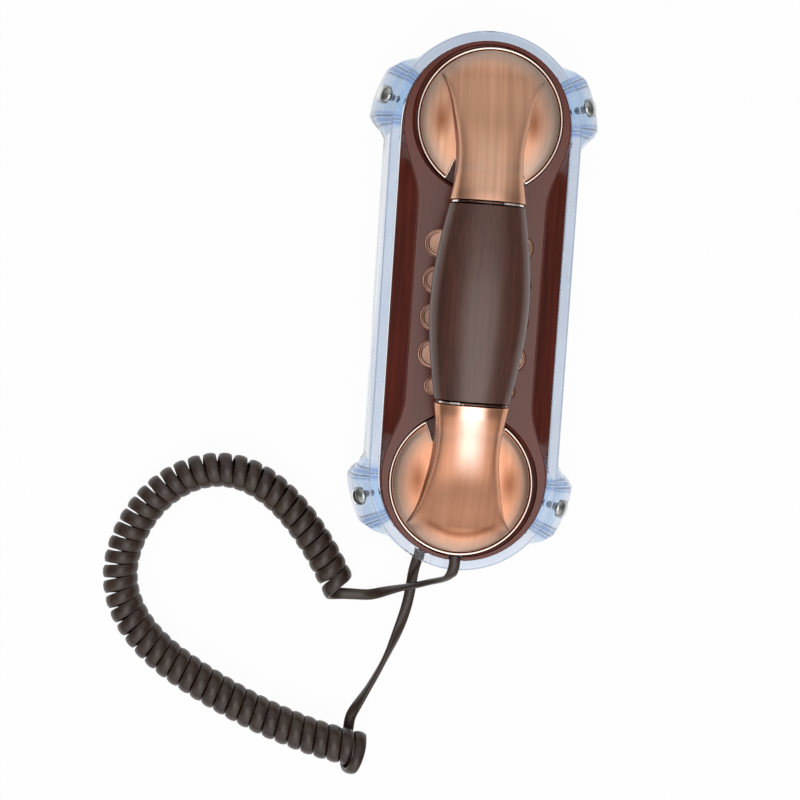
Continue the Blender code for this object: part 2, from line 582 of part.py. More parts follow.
def make_handset_end(name, end, pivot):
    """One end of the handset: the cup with its neck, the copper cap over it, and the bright trim ring."""
    centre_y = end * CRADLE_DISTANCE
    cup = turned(f"{name}_cup", [
        (0, CUP_FLOOR), (CUP_RADIUS - CUP_WALL, CUP_FLOOR), (CUP_RADIUS - CUP_WALL, CUP_RIM), (CUP_RADIUS, CUP_RIM),
        (CUP_RADIUS, CUP_BASE + 1.4 * MM), (CUP_RADIUS - 1.4 * MM, CUP_BASE), (0, CUP_BASE),
    ], DARK_PLASTIC, PARTS, steps=32)  # fmt: skip
    cup.location.y = centre_y
    hang(cup, pivot)
    combine(cup, hang(piece(f"{name}_neck", neck_shell(end), None, CUTTERS), pivot), "UNION")
    screw_y = end * HANDSET_SCREW_Y
    boss = rod(f"{name}_boss", (0, screw_y, CUP_BASE + 0.6 * MM), (0, screw_y, CUP_RIM - 0.4 * MM), 3.6 * MM,
               None, CUTTERS, 14)  # fmt: skip
    combine(cup, hang(boss, pivot), "UNION")
    bore = turned(f"cut_{name}_screw", [
        (0, 40 * MM), (1.4 * MM, 40 * MM), (1.4 * MM, 21.6 * MM), (2.9 * MM, 21.6 * MM), (2.9 * MM, 10 * MM),
        (0, 10 * MM),
    ], None, CUTTERS, steps=12)  # fmt: skip
    bore.location.y = screw_y
    combine(cup, hang(bore, pivot))
    hang(make_screw(f"{name}_screw", (0, screw_y, 20.0 * MM), 11.5 * MM, 2.5 * MM, STEEL), pivot)
    for index, (x, y) in enumerate(HOLE_PATTERN):
        start = (x, centre_y + y, 10 * MM)
        hole = rod(f"cut_{name}_hole_{index}", start, (x, centre_y + y, 25 * MM), 1.2 * MM, None, CUTTERS, 6)
        combine(cup, hang(hole, pivot))

    disc = turned(f"{name}_disc", [
        (0, 32.6 * MM), (8 * MM, 32.4 * MM), (16 * MM, 31.6 * MM), (23 * MM, 30.5 * MM),
        (DISC_RADIUS - 0.6 * MM, 29.7 * MM), (DISC_RADIUS, 29.2 * MM), (DISC_RADIUS, DISC_BASE), (0, DISC_BASE),
    ], None, CUTTERS, steps=36)  # fmt: skip
    disc.location.y = centre_y
    flat_y = end * DISC_FLAT
    flat = box(f"cut_{name}_flat", (-30 * MM, min(0, flat_y), 20 * MM), (30 * MM, max(0, flat_y), 45 * MM),
               None, CUTTERS)  # fmt: skip
    combine(disc, hang(flat, pivot))
    cap = piece(f"{name}_cap", cap_strip(end), COPPER, PARTS)
    combine(cap, hang(disc, pivot), "UNION")
    blind = rod(f"cut_{name}_thread", (0, screw_y, 20 * MM), (0, screw_y, 33 * MM), 1.4 * MM, None, CUTTERS, 12)
    combine(cap, hang(blind, pivot))
    socket = (0, end * 30 * MM, GRIP_Z), (0, end * (BAR_HALF_LENGTH + GAP), GRIP_Z)
    combine(cap, hang(rod(f"cut_{name}_socket", *socket, BAR_RADIUS + GAP, None, CUTTERS), pivot))
    combine(cup, hang(rod(f"cut_{name}_neck_socket", *socket, BAR_RADIUS + GAP, None, CUTTERS), pivot))
    hang(cap, pivot)

    make_trim_ring(f"{name}_trim_ring", end, pivot)
    return cup


HOLE_PATTERN = [(0, 0)] + [
    (5.5 * MM * math.cos(turn * math.pi / 3), 5.5 * MM * math.sin(turn * math.pi / 3)) for turn in range(6)
]


def make_trim_ring(name, end, pivot):
    """An open ring round the disc, as a curve with a round bevel. It stops short of the neck."""
    curve = bpy.data.curves.new(name, "CURVE")
    curve.dimensions = "3D"
    curve.bevel_depth = TRIM_TUBE
    curve.bevel_resolution = 1
    curve.use_fill_caps = True
    steps = 28
    spline = curve.splines.new("POLY")
    spline.points.add(steps)
    for step, point in enumerate(spline.points):
        angle = -math.pi + TRIM_OPEN + (2 * math.pi - 2 * TRIM_OPEN) * step / steps
        x, y = TRIM_RADIUS * math.sin(angle), TRIM_RADIUS * math.cos(angle)
        point.co = (x, end * (CRADLE_DISTANCE + y), TRIM_Z, 1)
    curve.materials.append(COPPER)
    made = bpy.data.objects.new(name, curve)
    PARTS.objects.link(made)
    hang(made, pivot)


def make_handset():
    pivot = bpy.data.objects.new("handset_pivot", None)
    PARTS.objects.link(pivot)
    pivot.location = (*HANDSET_SHIFT, 0)
    pivot.rotation_euler = Euler((0, 0, HANDSET_TURN))
    make_grip(pivot)
    make_handset_end("ear", 1, pivot)
    mouth_cup = make_handset_end("mouth", -1, pivot)
    receiver = turned("receiver", [
        (0, 27.4 * MM), (10 * MM, 27.4 * MM), (11 * MM, 25.6 * MM), (15.4 * MM, 25.6 * MM), (16 * MM, 25.0 * MM),
        (16 * MM, CUP_FLOOR + GAP), (0, CUP_FLOOR + GAP),
    ], STEEL, PARTS, steps=20)  # fmt: skip
    receiver.location.y = CRADLE_DISTANCE + 3 * MM
    hang(receiver, pivot)
    microphone = turned("microphone", [
        (0, 26.2 * MM), (4.5 * MM, 26.2 * MM), (4.9 * MM, 25.8 * MM), (4.9 * MM, CUP_FLOOR + GAP),
        (0, CUP_FLOOR + GAP),
    ], STEEL, PARTS, steps=14)  # fmt: skip
    microphone.location.y = -CRADLE_DISTANCE
    hang(microphone, pivot)
    jack, cut = make_jack("handset_jack", 0.0, (-100.4 * MM, -88.0 * MM), (21.1 * MM, 28.1 * MM),
                          (21.9 * MM, 35 * MM))  # fmt: skip
    hang(jack, pivot)
    hang(cut, pivot)
    door = box("cut_mouth_door", (-PLUG_SIZE[0] / 2 - PLUG_CLEARANCE, -110 * MM, 21.9 * MM),
               (PLUG_SIZE[0] / 2 + PLUG_CLEARANCE, -100 * MM, 35 * MM), None, CUTTERS)  # fmt: skip
    combine(mouth_cup, hang(door, pivot))
    plug = make_plug("handset_plug", 0.0, -103.3 * MM, 22.3 * MM)
    hang(plug, pivot)


def make_plug(name, x, outer_y, foot_z):
    """A clear modular plug whose outer end is at outer_y, with its latch as a low step on top."""
    width, length, height = PLUG_SIZE
    plug = box(name, (x - width / 2, outer_y, foot_z), (x + width / 2, outer_y + length, foot_z + height),
               PLUG_PLASTIC, PARTS)  # fmt: skip
    for side in (-1, 1):
        low, high = sorted((x + side * 1.6 * MM, x + side * 5 * MM))
        step = box(f"cut_{name}_latch_{low:.4f}", (low, outer_y - 1 * MM, foot_z + height - 1.2 * MM),
                   (high, outer_y + 7 * MM, foot_z + height + 1 * MM), None, CUTTERS)  # fmt: skip
        combine(plug, step)
    return plug


def smooth_route(points, samples=16):
    """A smooth curve close to the points: a cubic B-spline whose control points are pushed out to meet them."""
    points = [Vector(point) for point in points]
    padded = [2 * points[0] - points[1], *points, 2 * points[-1] - points[-2]]
    control = [
        point + (2 * point - before - after) / 6 for before, point, after in zip(padded, padded[1:], padded[2:])
    ]
    control = [2 * control[0] - control[1], *control, 2 * control[-1] - control[-2]]
    curve = []
    for a, b, c, d in zip(control, control[1:], control[2:], control[3:]):
        for step in range(samples):
            t = step / samples
            curve.append((
                (1 - t) ** 3 * a + (3 * t**3 - 6 * t**2 + 4) * b + (3 * t + 3 * t**2 - 3 * t**3 + 1) * c + t**3 * d
            ) / 6)  # fmt: skip
    curve.append((control[-3] + 4 * control[-2] + control[-1]) / 6)
    return curve


def spaced(curve, count):
    """The curve again, as count + 1 points at even steps along it."""
    along = [0.0]
    for before, after in zip(curve, curve[1:]):
        along.append(along[-1] + (after - before).length)
    found, index = [], 0
    for step in range(count + 1):
        target = along[-1] * step / count
        while index < len(curve) - 2 and along[index + 1] < target:
            index += 1
        share = (target - along[index]) / (along[index + 1] - along[index])
        found.append(curve[index].lerp(curve[index + 1], share))
    return found, along[-1]


def flat_cord(name, points, faces_to, collection):
    """Sweeps the cord's flat section along the points. faces_to says which way its flat face looks at each."""
    half, thick = CORD_WIDTH / 2, CORD_THICKNESS / 2
    section = [(half, 0), (0.62 * half, thick), (-0.62 * half, thick),
               (-half, 0), (-0.62 * half, -thick), (0.62 * half, -thick)]  # fmt: skip
    rings = []
    for index, point in enumerate(points):
        tangent = (points[min(index + 1, len(points) - 1)] - points[max(index - 1, 0)]).normalized()
        normal = faces_to[index] - tangent * faces_to[index].dot(tangent)
        normal.normalize()
        across = tangent.cross(normal)
        rings.append([point + across * u + normal * v for u, v in section])
    made = piece(name, loft(rings), CORD, collection)
    return made, rings


def ease(value, start, end):
    """0 up to start, 1 from end on, and smooth between."""
    share = min(max((value - start) / (end - start), 0.0), 1.0)
    return share * share * (3 - 2 * share)


def coil_points():
    """The curly cord: the points of its helix about the coil's route, and the way out from the axis at each."""
    axis, length = spaced(smooth_route([(x * MM, y * MM, 0) for x, y in COIL_ROUTE]), 800)
    points, faces_to = [], []
    for step in range(COIL_TURNS * COIL_STEPS + 1):
        turn = step / COIL_STEPS
        left = COIL_TURNS - turn
        start = max(0.0, 1 - turn / 0.6)
        place = length * turn / COIL_TURNS - COIL_START_SLACK * start**2 - COIL_END_PULL * ease(-left, -0.6, 0.1)
        share = place / length * 800
        index = min(max(int(share), 0), 799)
        centre = axis[index] + (axis[index + 1] - axis[index]) * (share - index)
        tangent = (axis[index + 1] - axis[index]).normalized()
        side = tangent.cross(Vector((0, 0, 1)))
        radius = COIL_RADIUS + COIL_SWELL * ease(turn, 22, 34) + COIL_END_SWELL * ease(-left, -0.62, -0.36)
        lift = COIL_END_LIFT * ease(-left, -7.0, -2.5) * (1 - ease(-left, -0.55, -0.05))
        angle = 2 * math.pi * turn
        out = side * -math.sin(angle) - Vector((0, 0, 1)) * math.cos(angle)
        centre.z = radius + CORD_THICKNESS / 2 + 0.1 * MM + lift
        points.append(centre + out * radius)
        faces_to.append(out)
    return points, faces_to


def lead_points(route, spacing=2.6 * MM):
    """A flat lead's points and the way its flat face looks at each, turned about the way it runs."""
    tiny = 1e-6  # the turn rides along as a fourth value, too small to count in the length
    curve, length = spaced(smooth_route([(x * MM, y * MM, z * MM, turn * tiny) for x, y, z, turn in route]), 400)
    count = max(8, round(length / spacing))
    found, _ = spaced(curve, count)
    points = [point.to_3d() for point in found]
    faces_to = []
    for index, point in enumerate(found):
        tangent = (points[min(index + 1, count)] - points[max(index - 1, 0)]).normalized()
        twist = math.radians(point.w / tiny)
        side = tangent.cross(Vector((0, 0, 1)))
        if side.length < 0.2:
            side = Vector((0, -1, 0))
        faces_to.append(Vector((0, 0, 1)) * math.cos(twist) - side.normalized() * math.sin(twist))
    return points, faces_to


def least_gap(rings):
    """The least distance between the coil's surface and its own next turn, measured on the rings' points."""
    least = 1.0
    for index in range(len(rings) - COIL_STEPS):
        for neighbour in range(index + COIL_STEPS - 1, min(index + COIL_STEPS + 2, len(rings))):
            for point in rings[index]:
                least = min(least, min((point - other).length for other in rings[neighbour]))
    return least


def make_cord():
    """The curly cord, with a straight run at each end, and the flat leads that meet it end to end."""
    points, faces_to = coil_points()
    run_in = (points[0] - points[1]).normalized()
    run_in.z = 0
    run_out = (points[-1] - points[-2]).normalized()
    run_out.z = 0
    coil_start = points[0] + run_in * CORD_WIDTH
    coil_end = points[-1] + run_out * CORD_WIDTH
    points = [coil_start, points[0] + run_in * CORD_WIDTH / 2, *points, points[-1] + run_out * CORD_WIDTH / 2, coil_end]
    faces_to = [faces_to[0], faces_to[0], *faces_to, faces_to[-1], faces_to[-1]]
    _, rings = flat_cord("curly_cord", points, faces_to, PARTS)
    lead_start, lead_end = coil_start + run_in * GAP, coil_end + run_out * GAP
    whole = sum((after - before).length for before, after in zip(points, points[1:]))
    for name, route, meet, direction in (
        ("handset_lead", HANDSET_LEAD_ROUTE, lead_start, run_in),
        ("base_lead", BASE_LEAD_ROUTE, lead_end, run_out),
    ):
        tail = [tuple(value / MM for value in meet + direction * CORD_WIDTH) + (180,),
                tuple(value / MM for value in meet) + (180,)]  # fmt: skip
        lead, lead_faces = lead_points([*route, *tail])
        flat_cord(name, lead, lead_faces, PARTS)
        whole += sum((after - before).length for before, after in zip(lead, lead[1:]))
    print(f"curly cord: least gap to itself {least_gap(rings) / MM:.2f} mm")
    print(f"cord: {whole:.3f} m from plug to plug")


def main():
    make_back_cover()
    make_face_plate()
    make_crystal_surround()
    make_keys()
    make_inner_works()
    for index, (x, y) in enumerate(boss_places(), 1):
        make_screw(f"cover_screw_{index}", (x, y, 0.3 * MM), 9.5 * MM, 2.7 * MM, STEEL)
    make_handset()
    make_plug("base_plug", BASE_JACK_X, -102.0 * MM, 3.4 * MM)
    make_cord()


clear_scene()
PARTS = new_collection("Slimline_wall_phone")
CUTTERS = new_collection("Cutters")
WOOD = material("face_wood", (0.09, 0.02, 0.012), 0.22)
DARK_WOOD = material("grip_wood", (0.065, 0.028, 0.02), 0.38)
COPPER = material("brushed_copper", (0.58, 0.26, 0.17), 0.3, 1.0)
CRYSTAL = material("crystal", (0.72, 0.82, 0.95), 0.05, 0.0, 0.45)
CHROME = material("chrome", (0.75, 0.75, 0.77), 0.12, 1.0)
STEEL = material("steel", (0.5, 0.5, 0.5), 0.35, 1.0)
DARK_PLASTIC = material("cup_plastic", (0.035, 0.018, 0.014), 0.4)
BACK_PLASTIC = material("back_plastic", (0.03, 0.025, 0.022), 0.5)
BLACK_PLASTIC = material("black_plastic", (0.02, 0.02, 0.02), 0.5)
RUBBER = material("keypad_silicone", (0.35, 0.35, 0.35), 0.7)
BOARD = material("circuit_board", (0.02, 0.12, 0.05), 0.5)
CORD = material("cord", (0.045, 0.028, 0.022), 0.42)
PLUG_PLASTIC = material("plug_plastic", (0.8, 0.8, 0.78), 0.15, 0.0, 0.5)
main()
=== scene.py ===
# %% [markdown]
# # A slimline wall phone, dressed for its picture
# The phone lies face up on a pale table, as in the photograph: a clear crystal surround with four lugs, a
# wood-look face with copper keys, and a handset whose two copper caps sit in round cradle cups.
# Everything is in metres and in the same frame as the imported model, so a piece is made where it belongs.

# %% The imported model
import json
import math

import bmesh
import bpy
from mathutils import Matrix, Vector


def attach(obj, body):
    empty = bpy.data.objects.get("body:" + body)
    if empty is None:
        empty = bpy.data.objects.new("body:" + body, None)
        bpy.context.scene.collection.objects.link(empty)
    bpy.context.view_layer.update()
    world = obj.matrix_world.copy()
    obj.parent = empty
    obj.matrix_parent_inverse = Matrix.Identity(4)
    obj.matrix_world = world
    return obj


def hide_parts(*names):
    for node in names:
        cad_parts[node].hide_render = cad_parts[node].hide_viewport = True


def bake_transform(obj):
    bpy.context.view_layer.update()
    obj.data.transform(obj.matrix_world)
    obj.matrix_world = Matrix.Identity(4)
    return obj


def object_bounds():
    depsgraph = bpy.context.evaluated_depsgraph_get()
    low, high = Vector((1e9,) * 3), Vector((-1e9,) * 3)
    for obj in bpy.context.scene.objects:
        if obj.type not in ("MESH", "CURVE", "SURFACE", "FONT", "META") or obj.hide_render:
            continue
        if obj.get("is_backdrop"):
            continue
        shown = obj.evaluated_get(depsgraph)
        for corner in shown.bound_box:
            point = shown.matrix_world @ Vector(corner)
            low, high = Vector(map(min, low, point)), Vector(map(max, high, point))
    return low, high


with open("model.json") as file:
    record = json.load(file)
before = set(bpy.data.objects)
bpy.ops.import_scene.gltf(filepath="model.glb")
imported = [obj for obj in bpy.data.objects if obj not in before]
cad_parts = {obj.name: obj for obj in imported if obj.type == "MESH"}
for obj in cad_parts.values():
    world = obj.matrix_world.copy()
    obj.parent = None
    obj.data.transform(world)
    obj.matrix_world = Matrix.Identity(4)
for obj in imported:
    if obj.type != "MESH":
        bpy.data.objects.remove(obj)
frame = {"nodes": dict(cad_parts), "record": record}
cad_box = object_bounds()
NODES = frame["nodes"]
MM = 0.001
UP = Vector((0, 0, 1))
RING_CENTRE, CUP_CENTRE = 71.25, 73.6  # how far the centres of the round ends lie from the middle, in mm
BOTH_ENDS = (("ear", 1), ("mouth", -1))
print(f"{len(NODES)} nodes in the packed model")

# %% [markdown]
# ## The camera
# The photograph was taken from almost straight above with a long lens, and the phone stands a little turned
# in it. So the camera hangs 0.7 m above the table, and is rolled by 3.7 degrees instead of turning the phone.

# %% The camera
PHOTO_WIDTH, FOCAL_LENGTH = 800, 1654.7  # of the photograph, in pixels
SENSOR = 36  # mm
camera_data = bpy.data.cameras.new("camera")
camera_data.sensor_width = SENSOR
camera_data.lens = FOCAL_LENGTH * SENSOR / PHOTO_WIDTH
camera = bpy.data.objects.new("camera", camera_data)
bpy.context.scene.collection.objects.link(camera)
camera.matrix_world = (
    Matrix.Translation((-0.03859, 0.0005, 0.7))
    @ Matrix.Rotation(math.radians(3.71), 4, "Z")
    @ Matrix.Rotation(math.radians(-3.6), 4, "X")
    @ Matrix.Rotation(math.radians(-0.68), 4, "Y")
)
bpy.context.scene.camera = camera
bpy.context.scene.view_settings.view_transform = "Standard"
print(f"camera lens {camera_data.lens:.1f} mm")

# %% [markdown]
# ## Helpers for shapes
# Most pieces here are of two kinds. A turned piece is a profile spun about an axis, as on a lathe: discs, cups,
# keys and studs. A drawn-out piece is one closed outline that is extruded again and again, each time to the
# next outline: the grip, the strip over a cap, the cord. Each vertex remembers its number in the outline in a
# custom layer, which an extrusion copies, so the new ring can be moved to its place point by point.


# %% Turned pieces
def turned(profile, steps=96):
    """A closed shape spun about Z from (radius, z) pairs in mm, which start and end on the axis or meet."""
    bm = bmesh.new()
    verts = [bm.verts.new((radius * MM, 0, z * MM)) for radius, z in profile]
    edges = [bm.edges.new(pair) for pair in zip(verts, verts[1:])]
    if profile[0][0] > 0:
        edges.append(bm.edges.new((verts[-1], verts[0])))
    bmesh.ops.spin(
        bm, geom=verts + edges, axis=(0, 0, 1), cent=(0, 0, 0), angle=2 * math.pi, steps=steps, use_merge=True
    )
    bmesh.ops.remove_doubles(bm, verts=bm.verts, dist=1e-6)
    bmesh.ops.recalc_face_normals(bm, faces=bm.faces)
    return bm


# %% Drawn-out pieces
def drawn_out(rings, closed=False):
    """One outline extruded from ring to ring. Each ring is a list of points, all with the same count."""
    bm = bmesh.new()
    numbers = bm.verts.layers.int.new("place")
    verts = []
    for number, point in enumerate(rings[0]):
        vert = bm.verts.new(point)
        vert[numbers] = number
        verts.append(vert)
    first = [bm.edges.new((vert, verts[number - 1])) for number, vert in enumerate(verts)]
    edges = first
    for ring in rings[1:]:
        grown = bmesh.ops.extrude_edge_only(bm, edges=edges)["geom"]
        edges = [item for item in grown if isinstance(item, bmesh.types.BMEdge)]
        new = [item for item in grown if isinstance(item, bmesh.types.BMVert)]
        for vert in new:
            vert.co = ring[vert[numbers]]
        fresh = set(new)
        edges = [edge for edge in edges if edge.verts[0] in fresh and edge.verts[1] in fresh]
    if closed:
        bmesh.ops.bridge_loops(bm, edges=first + edges)
    else:
        bmesh.ops.edgeloop_fill(bm, edges=first)
        bmesh.ops.edgeloop_fill(bm, edges=edges)
    bmesh.ops.recalc_face_normals(bm, faces=bm.faces)
    return bm


# %% [markdown]
# ## From a bmesh to a piece of the phone
# A piece stands for one or more nodes of the imported model, which it hides, rides on the same body, and gets
# its material. Its faces are shaded smooth, with sharp edges where two faces meet at more than
# 35 degrees, so that a turned rim stays crisp and a curved wall has no facets.


# %% Finished pieces
def smoothed(mesh, sharp_angle):
    """Shades the mesh smooth, except where two faces meet at more than the angle in degrees."""
    for polygon in mesh.polygons:
        polygon.use_smooth = True
    mesh.set_sharp_from_angle(angle=math.radians(sharp_angle))


def as_object(name, bm, sharp_angle=35):
    """The bmesh as an object at the origin."""
    mesh = bpy.data.meshes.new(name)
    bm.to_mesh(mesh)
    bm.free()
    smoothed(mesh, sharp_angle)
    made = bpy.data.objects.new(name, mesh)
    bpy.context.scene.collection.objects.link(made)
    return made


def carve(target, other, sharp_angle, operation="DIFFERENCE"):
    """Cuts other out of target, or joins it on, and removes other."""
    modifier = target.modifiers.new("carve", "BOOLEAN")
    modifier.object, modifier.operation, modifier.solver = other, operation, "EXACT"
    bpy.context.view_layer.update()
    result = bpy.data.meshes.new_from_object(target.evaluated_get(bpy.context.evaluated_depsgraph_get()))
    target.modifiers.clear()
    target.data = result
    smoothed(result, sharp_angle)
    bpy.data.objects.remove(other)


def carve_box(target, centre, size, sharp_angle):
    """Cuts a box out of the target. Its centre and size are in metres."""
    box = bmesh.new()
    bmesh.ops.create_cube(box, size=1.0, matrix=Matrix.Translation(centre) @ Matrix.Diagonal((*size, 1)))
    carve(target, as_object("box", box), sharp_angle)


def place(piece, body, finish, slot, *nodes):
    """The piece gets its material, rides on its body and stands for its nodes."""
    piece.data.materials.clear()
    piece.data.materials.append(finish)
    if body:
        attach(piece, body)
    if nodes:
        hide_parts(*nodes)
    count = sum(len(polygon.vertices) - 2 for polygon in piece.data.polygons)
    print(f"{piece.name}: {count} triangles")


# %% [markdown]
# ## Shared effects for the materials
# Real finishes are never even. Four node groups give what most of them share: *Long grain*, streaks that run
# along Y, for wood and for brushed copper; *Handled*, the slow change of gloss that fingers and a cloth leave;
# *Worn edge*, a mask that is white on convex edges, where lacquer and plating thin out first; and *Round the
# ends*, which tells where a point lies about the phone's round ends, so that a tone can follow its form.


# %% Node group helpers
def group(name, inputs, outputs):
    """An empty shader node group with float inputs {name: default} and the named float outputs."""
    tree = bpy.data.node_groups.new(name, "ShaderNodeTree")
    for label, value in inputs.items():
        socket = tree.interface.new_socket(name=label, in_out="INPUT", socket_type="NodeSocketFloat")
        socket.default_value = value
    for label in outputs:
        tree.interface.new_socket(name=label, in_out="OUTPUT", socket_type="NodeSocketFloat")
    return tree, tree.nodes.new("NodeGroupInput"), tree.nodes.new("NodeGroupOutput")


def node(tree, kind, links=(), **values):
    """A node of that kind, with its properties and sockets set and its inputs linked."""
    made = tree.nodes.new("ShaderNode" + kind)
    for label, value in values.items():
        if hasattr(made, label):
            setattr(made, label, value)
        else:
            made.inputs[label.replace("_", " ")].default_value = value
    for source, target in links:
        tree.links.new(source, made.inputs[target])
    return made


def maths(tree, operation, a, b=0.0):
    """A Math node on sockets or numbers."""
    made = tree.nodes.new("ShaderNodeMath")
    made.operation = operation
    for index, value in enumerate((a, b)):
        if isinstance(value, (int, float)):
            made.inputs[index].default_value = value
        else:
            tree.links.new(value, made.inputs[index])
    return made.outputs[0]


def times(tree, a, b):
    """The product of two sockets or numbers."""
    return maths(tree, "MULTIPLY", a, b)


def smooth(tree, value, low, high, start=0.0, end=1.0):
    """Goes smoothly from start to end as the value goes from low to high. Low may be the larger one."""
    made = node(
        tree, "MapRange", [(value, "Value")], interpolation_type="SMOOTHSTEP",
        From_Min=low, From_Max=high, To_Min=start, To_Max=end,
    )  # fmt: skip
    return made.outputs[0]


def window(tree, value, low, high, soft):
    """1 where the value is between low and high and 0 elsewhere, with soft edges."""
    return times(tree, smooth(tree, value, low - soft, low + soft), smooth(tree, value, high + soft, high - soft))


def distance(tree, a, b):
    """The length of the way with the sides a and b."""
    return maths(tree, "SQRT", maths(tree, "ADD", times(tree, a, a), times(tree, b, b)))


def stretched(tree, scale, along, upward):
    """Object coordinates scaled most across X, less along Y and up, so that a pattern on them is drawn out."""
    coordinates = node(tree, "TexCoord")
    across = node(tree, "CombineXYZ", Y=1.0)
    tree.links.new(scale, across.inputs["X"])
    tree.links.new(times(tree, scale, upward), across.inputs["Z"])
    tree.links.new(times(tree, scale, along), across.inputs["Y"])
    product = node(tree, "VectorMath", operation="MULTIPLY")
    tree.links.new(coordinates.outputs["Object"], product.inputs[0])
    tree.links.new(across.outputs[0], product.inputs[1])
    return product.outputs[0]


# %% The long grain
grain, grain_in, grain_out = group(
    "Long grain", {"Scale": 400.0, "Along": 0.03, "Upward": 1.0, "Detail": 6.0}, ["Streaks", "Slow"]
)
fine = node(grain, "TexNoise", Scale=1.0, Roughness=0.6)
drawn = grain_in.outputs["Along"], grain_in.outputs["Upward"]
grain.links.new(stretched(grain, grain_in.outputs["Scale"], *drawn), fine.inputs["Vector"])
grain.links.new(grain_in.outputs["Detail"], fine.inputs["Detail"])
broad = node(grain, "TexNoise", Scale=1.0, Detail=2.0)
quarter = times(grain, grain_in.outputs["Scale"], 0.23)
grain.links.new(stretched(grain, quarter, *drawn), broad.inputs["Vector"])
grain.links.new(fine.outputs["Fac"], grain_out.inputs["Streaks"])
grain.links.new(broad.outputs["Fac"], grain_out.inputs["Slow"])

# %% The handled surface
handled, handled_in, handled_out = group(
    "Handled", {"Scale": 60.0, "Roughness": 0.3, "Change": 0.1}, ["Roughness", "Marks"]
)
where = node(handled, "TexCoord")
cloudy = node(handled, "TexNoise", [(where.outputs["Object"], "Vector")], Detail=4.0, Roughness=0.65)
handled.links.new(handled_in.outputs["Scale"], cloudy.inputs["Scale"])
centred = maths(handled, "SUBTRACT", cloudy.outputs["Fac"], 0.5)
swing = times(handled, centred, handled_in.outputs["Change"])
handled.links.new(maths(handled, "ADD", swing, handled_in.outputs["Roughness"]), handled_out.inputs["Roughness"])
handled.links.new(cloudy.outputs["Fac"], handled_out.inputs["Marks"])

# %% The worn edge
worn, worn_in, worn_out = group("Worn edge", {"Start": 0.52, "End": 0.6}, ["Edge"])
shape = node(worn, "NewGeometry")
ramp = node(worn, "MapRange", [(shape.outputs["Pointiness"], "Value")], To_Min=0.0, To_Max=1.0)
worn.links.new(worn_in.outputs["Start"], ramp.inputs["From Min"])
worn.links.new(worn_in.outputs["End"], ramp.inputs["From Max"])
worn.links.new(ramp.outputs[0], worn_out.inputs["Edge"])

# %% Round the ends
# Where a point lies about the centre of the nearer round end: how far aside and beyond it, its distance from it,
# and its angle. The line between the two centres gives the long outline's own radius, Out.
ends, ends_in, ends_out = group(
    "Round the ends", {"Centre": CUP_CENTRE * MM}, ["Aside", "Beyond", "Height", "Reach", "Out", "Angle"]
)
point_at = node(ends, "SeparateXYZ", [(node(ends, "TexCoord").outputs["Object"], "Vector")]).outputs
aside = maths(ends, "ABSOLUTE", point_at["X"])
beyond = maths(ends, "SUBTRACT", maths(ends, "ABSOLUTE", point_at["Y"]), ends_in.outputs["Centre"])
measures = {
    "Aside": aside, "Beyond": beyond, "Height": point_at["Z"], "Reach": distance(ends, aside, beyond),
    "Out": distance(ends, aside, maths(ends, "MAXIMUM", beyond, 0.0)), "Angle": maths(ends, "ARCTAN2", beyond, aside),
}  # fmt: skip
for label, value in measures.items():
    ends.links.new(value, ends_out.inputs[label])
print("node groups:", [shared.name for shared in (grain, handled, worn, ends)])

# %% [markdown]
# ## Materials
# A material starts as a Principled BSDF with its plain values on the shader's own sockets. Its colour is a
# mix of two or three close colours by a group's mask, its roughness comes from *Handled*, and its fine relief
# from a Bump node. The metals keep a low contrast and get most of their light and dark from what they
# reflect, but the caps, the studs' heads and the bands also have painted highlights and painted reflections.


# %% Material helpers
def material(name, **values):
    """A material with a Principled BSDF, and the values set on the shader's own sockets."""
    made = bpy.data.materials.new(name)
    made.use_nodes = True
    tree = made.node_tree
    tree.nodes.clear()
    shader = node(tree, "BsdfPrincipled", **values)
    output = node(tree, "OutputMaterial", [(shader.outputs[0], "Surface")])
    output.is_active_output = True
    return made, tree, shader


def use(tree, shared, **values):
    """One of the shared groups, placed in this material with its own values."""
    made = tree.nodes.new("ShaderNodeGroup")
    made.node_tree = shared
    for label, value in values.items():
        made.inputs[label].default_value = value
    return made


def round_ends(tree, centre):
    """The measures about the round ends, whose centres are that many mm from the middle, and a window on one."""
    at = use(tree, ends, Centre=centre * MM).outputs

    def within(label, low, high, soft):
        return window(tree, at[label], low, high, soft)

    return at, within


def blend_colours(tree, mask, low, high, start=0.35, end=0.65):
    """Goes from the low colour to the high one as the mask goes from start to end."""
    ramp = tree.nodes.new("ShaderNodeValToRGB")
    ramp.color_ramp.elements[0].position, ramp.color_ramp.elements[1].position = start, end
    ramp.color_ramp.elements[0].color = (*low, 1)
    ramp.color_ramp.elements[1].color = (*high, 1)
    tree.links.new(mask, ramp.inputs[0])
    return ramp.outputs["Color"]


def mix_colours(tree, mask, first, second):
    """The first colour where the mask is 0 and the second where it is 1. Either may be a socket."""
    made = node(tree, "Mix", data_type="RGBA")
    tree.links.new(mask, made.inputs["Factor"])
    for index, value in ((6, first), (7, second)):
        if isinstance(value, tuple):
            made.inputs[index].default_value = (*value, 1)
        else:
            tree.links.new(value, made.inputs[index])
    return made.outputs[2]


def overlay(tree, under, colour, share, mask):
    """Lays that share of the colour over what is under it, where the mask is 1."""
    return mix_colours(tree, times(tree, mask, share), under, colour)


def paint(tree, shader, colour):
    """Links a colour to the shader."""
    tree.links.new(colour, shader.inputs["Base Color"])


def glossed(tree, shader, scale, roughness, change):
    """Gives the shader a handled gloss, and returns its marks as a mask for the colours."""
    gloss = use(tree, handled, Scale=scale, Roughness=roughness, Change=change)
    tree.links.new(gloss.outputs["Roughness"], shader.inputs["Roughness"])
    return gloss.outputs["Marks"]


def rubbed(tree, tone, bright, start, end):
    """The tone, with the bright colour on convex edges."""
    edge = use(tree, worn, Start=start, End=end)
    return mix_colours(tree, edge.outputs["Edge"], tone, bright)


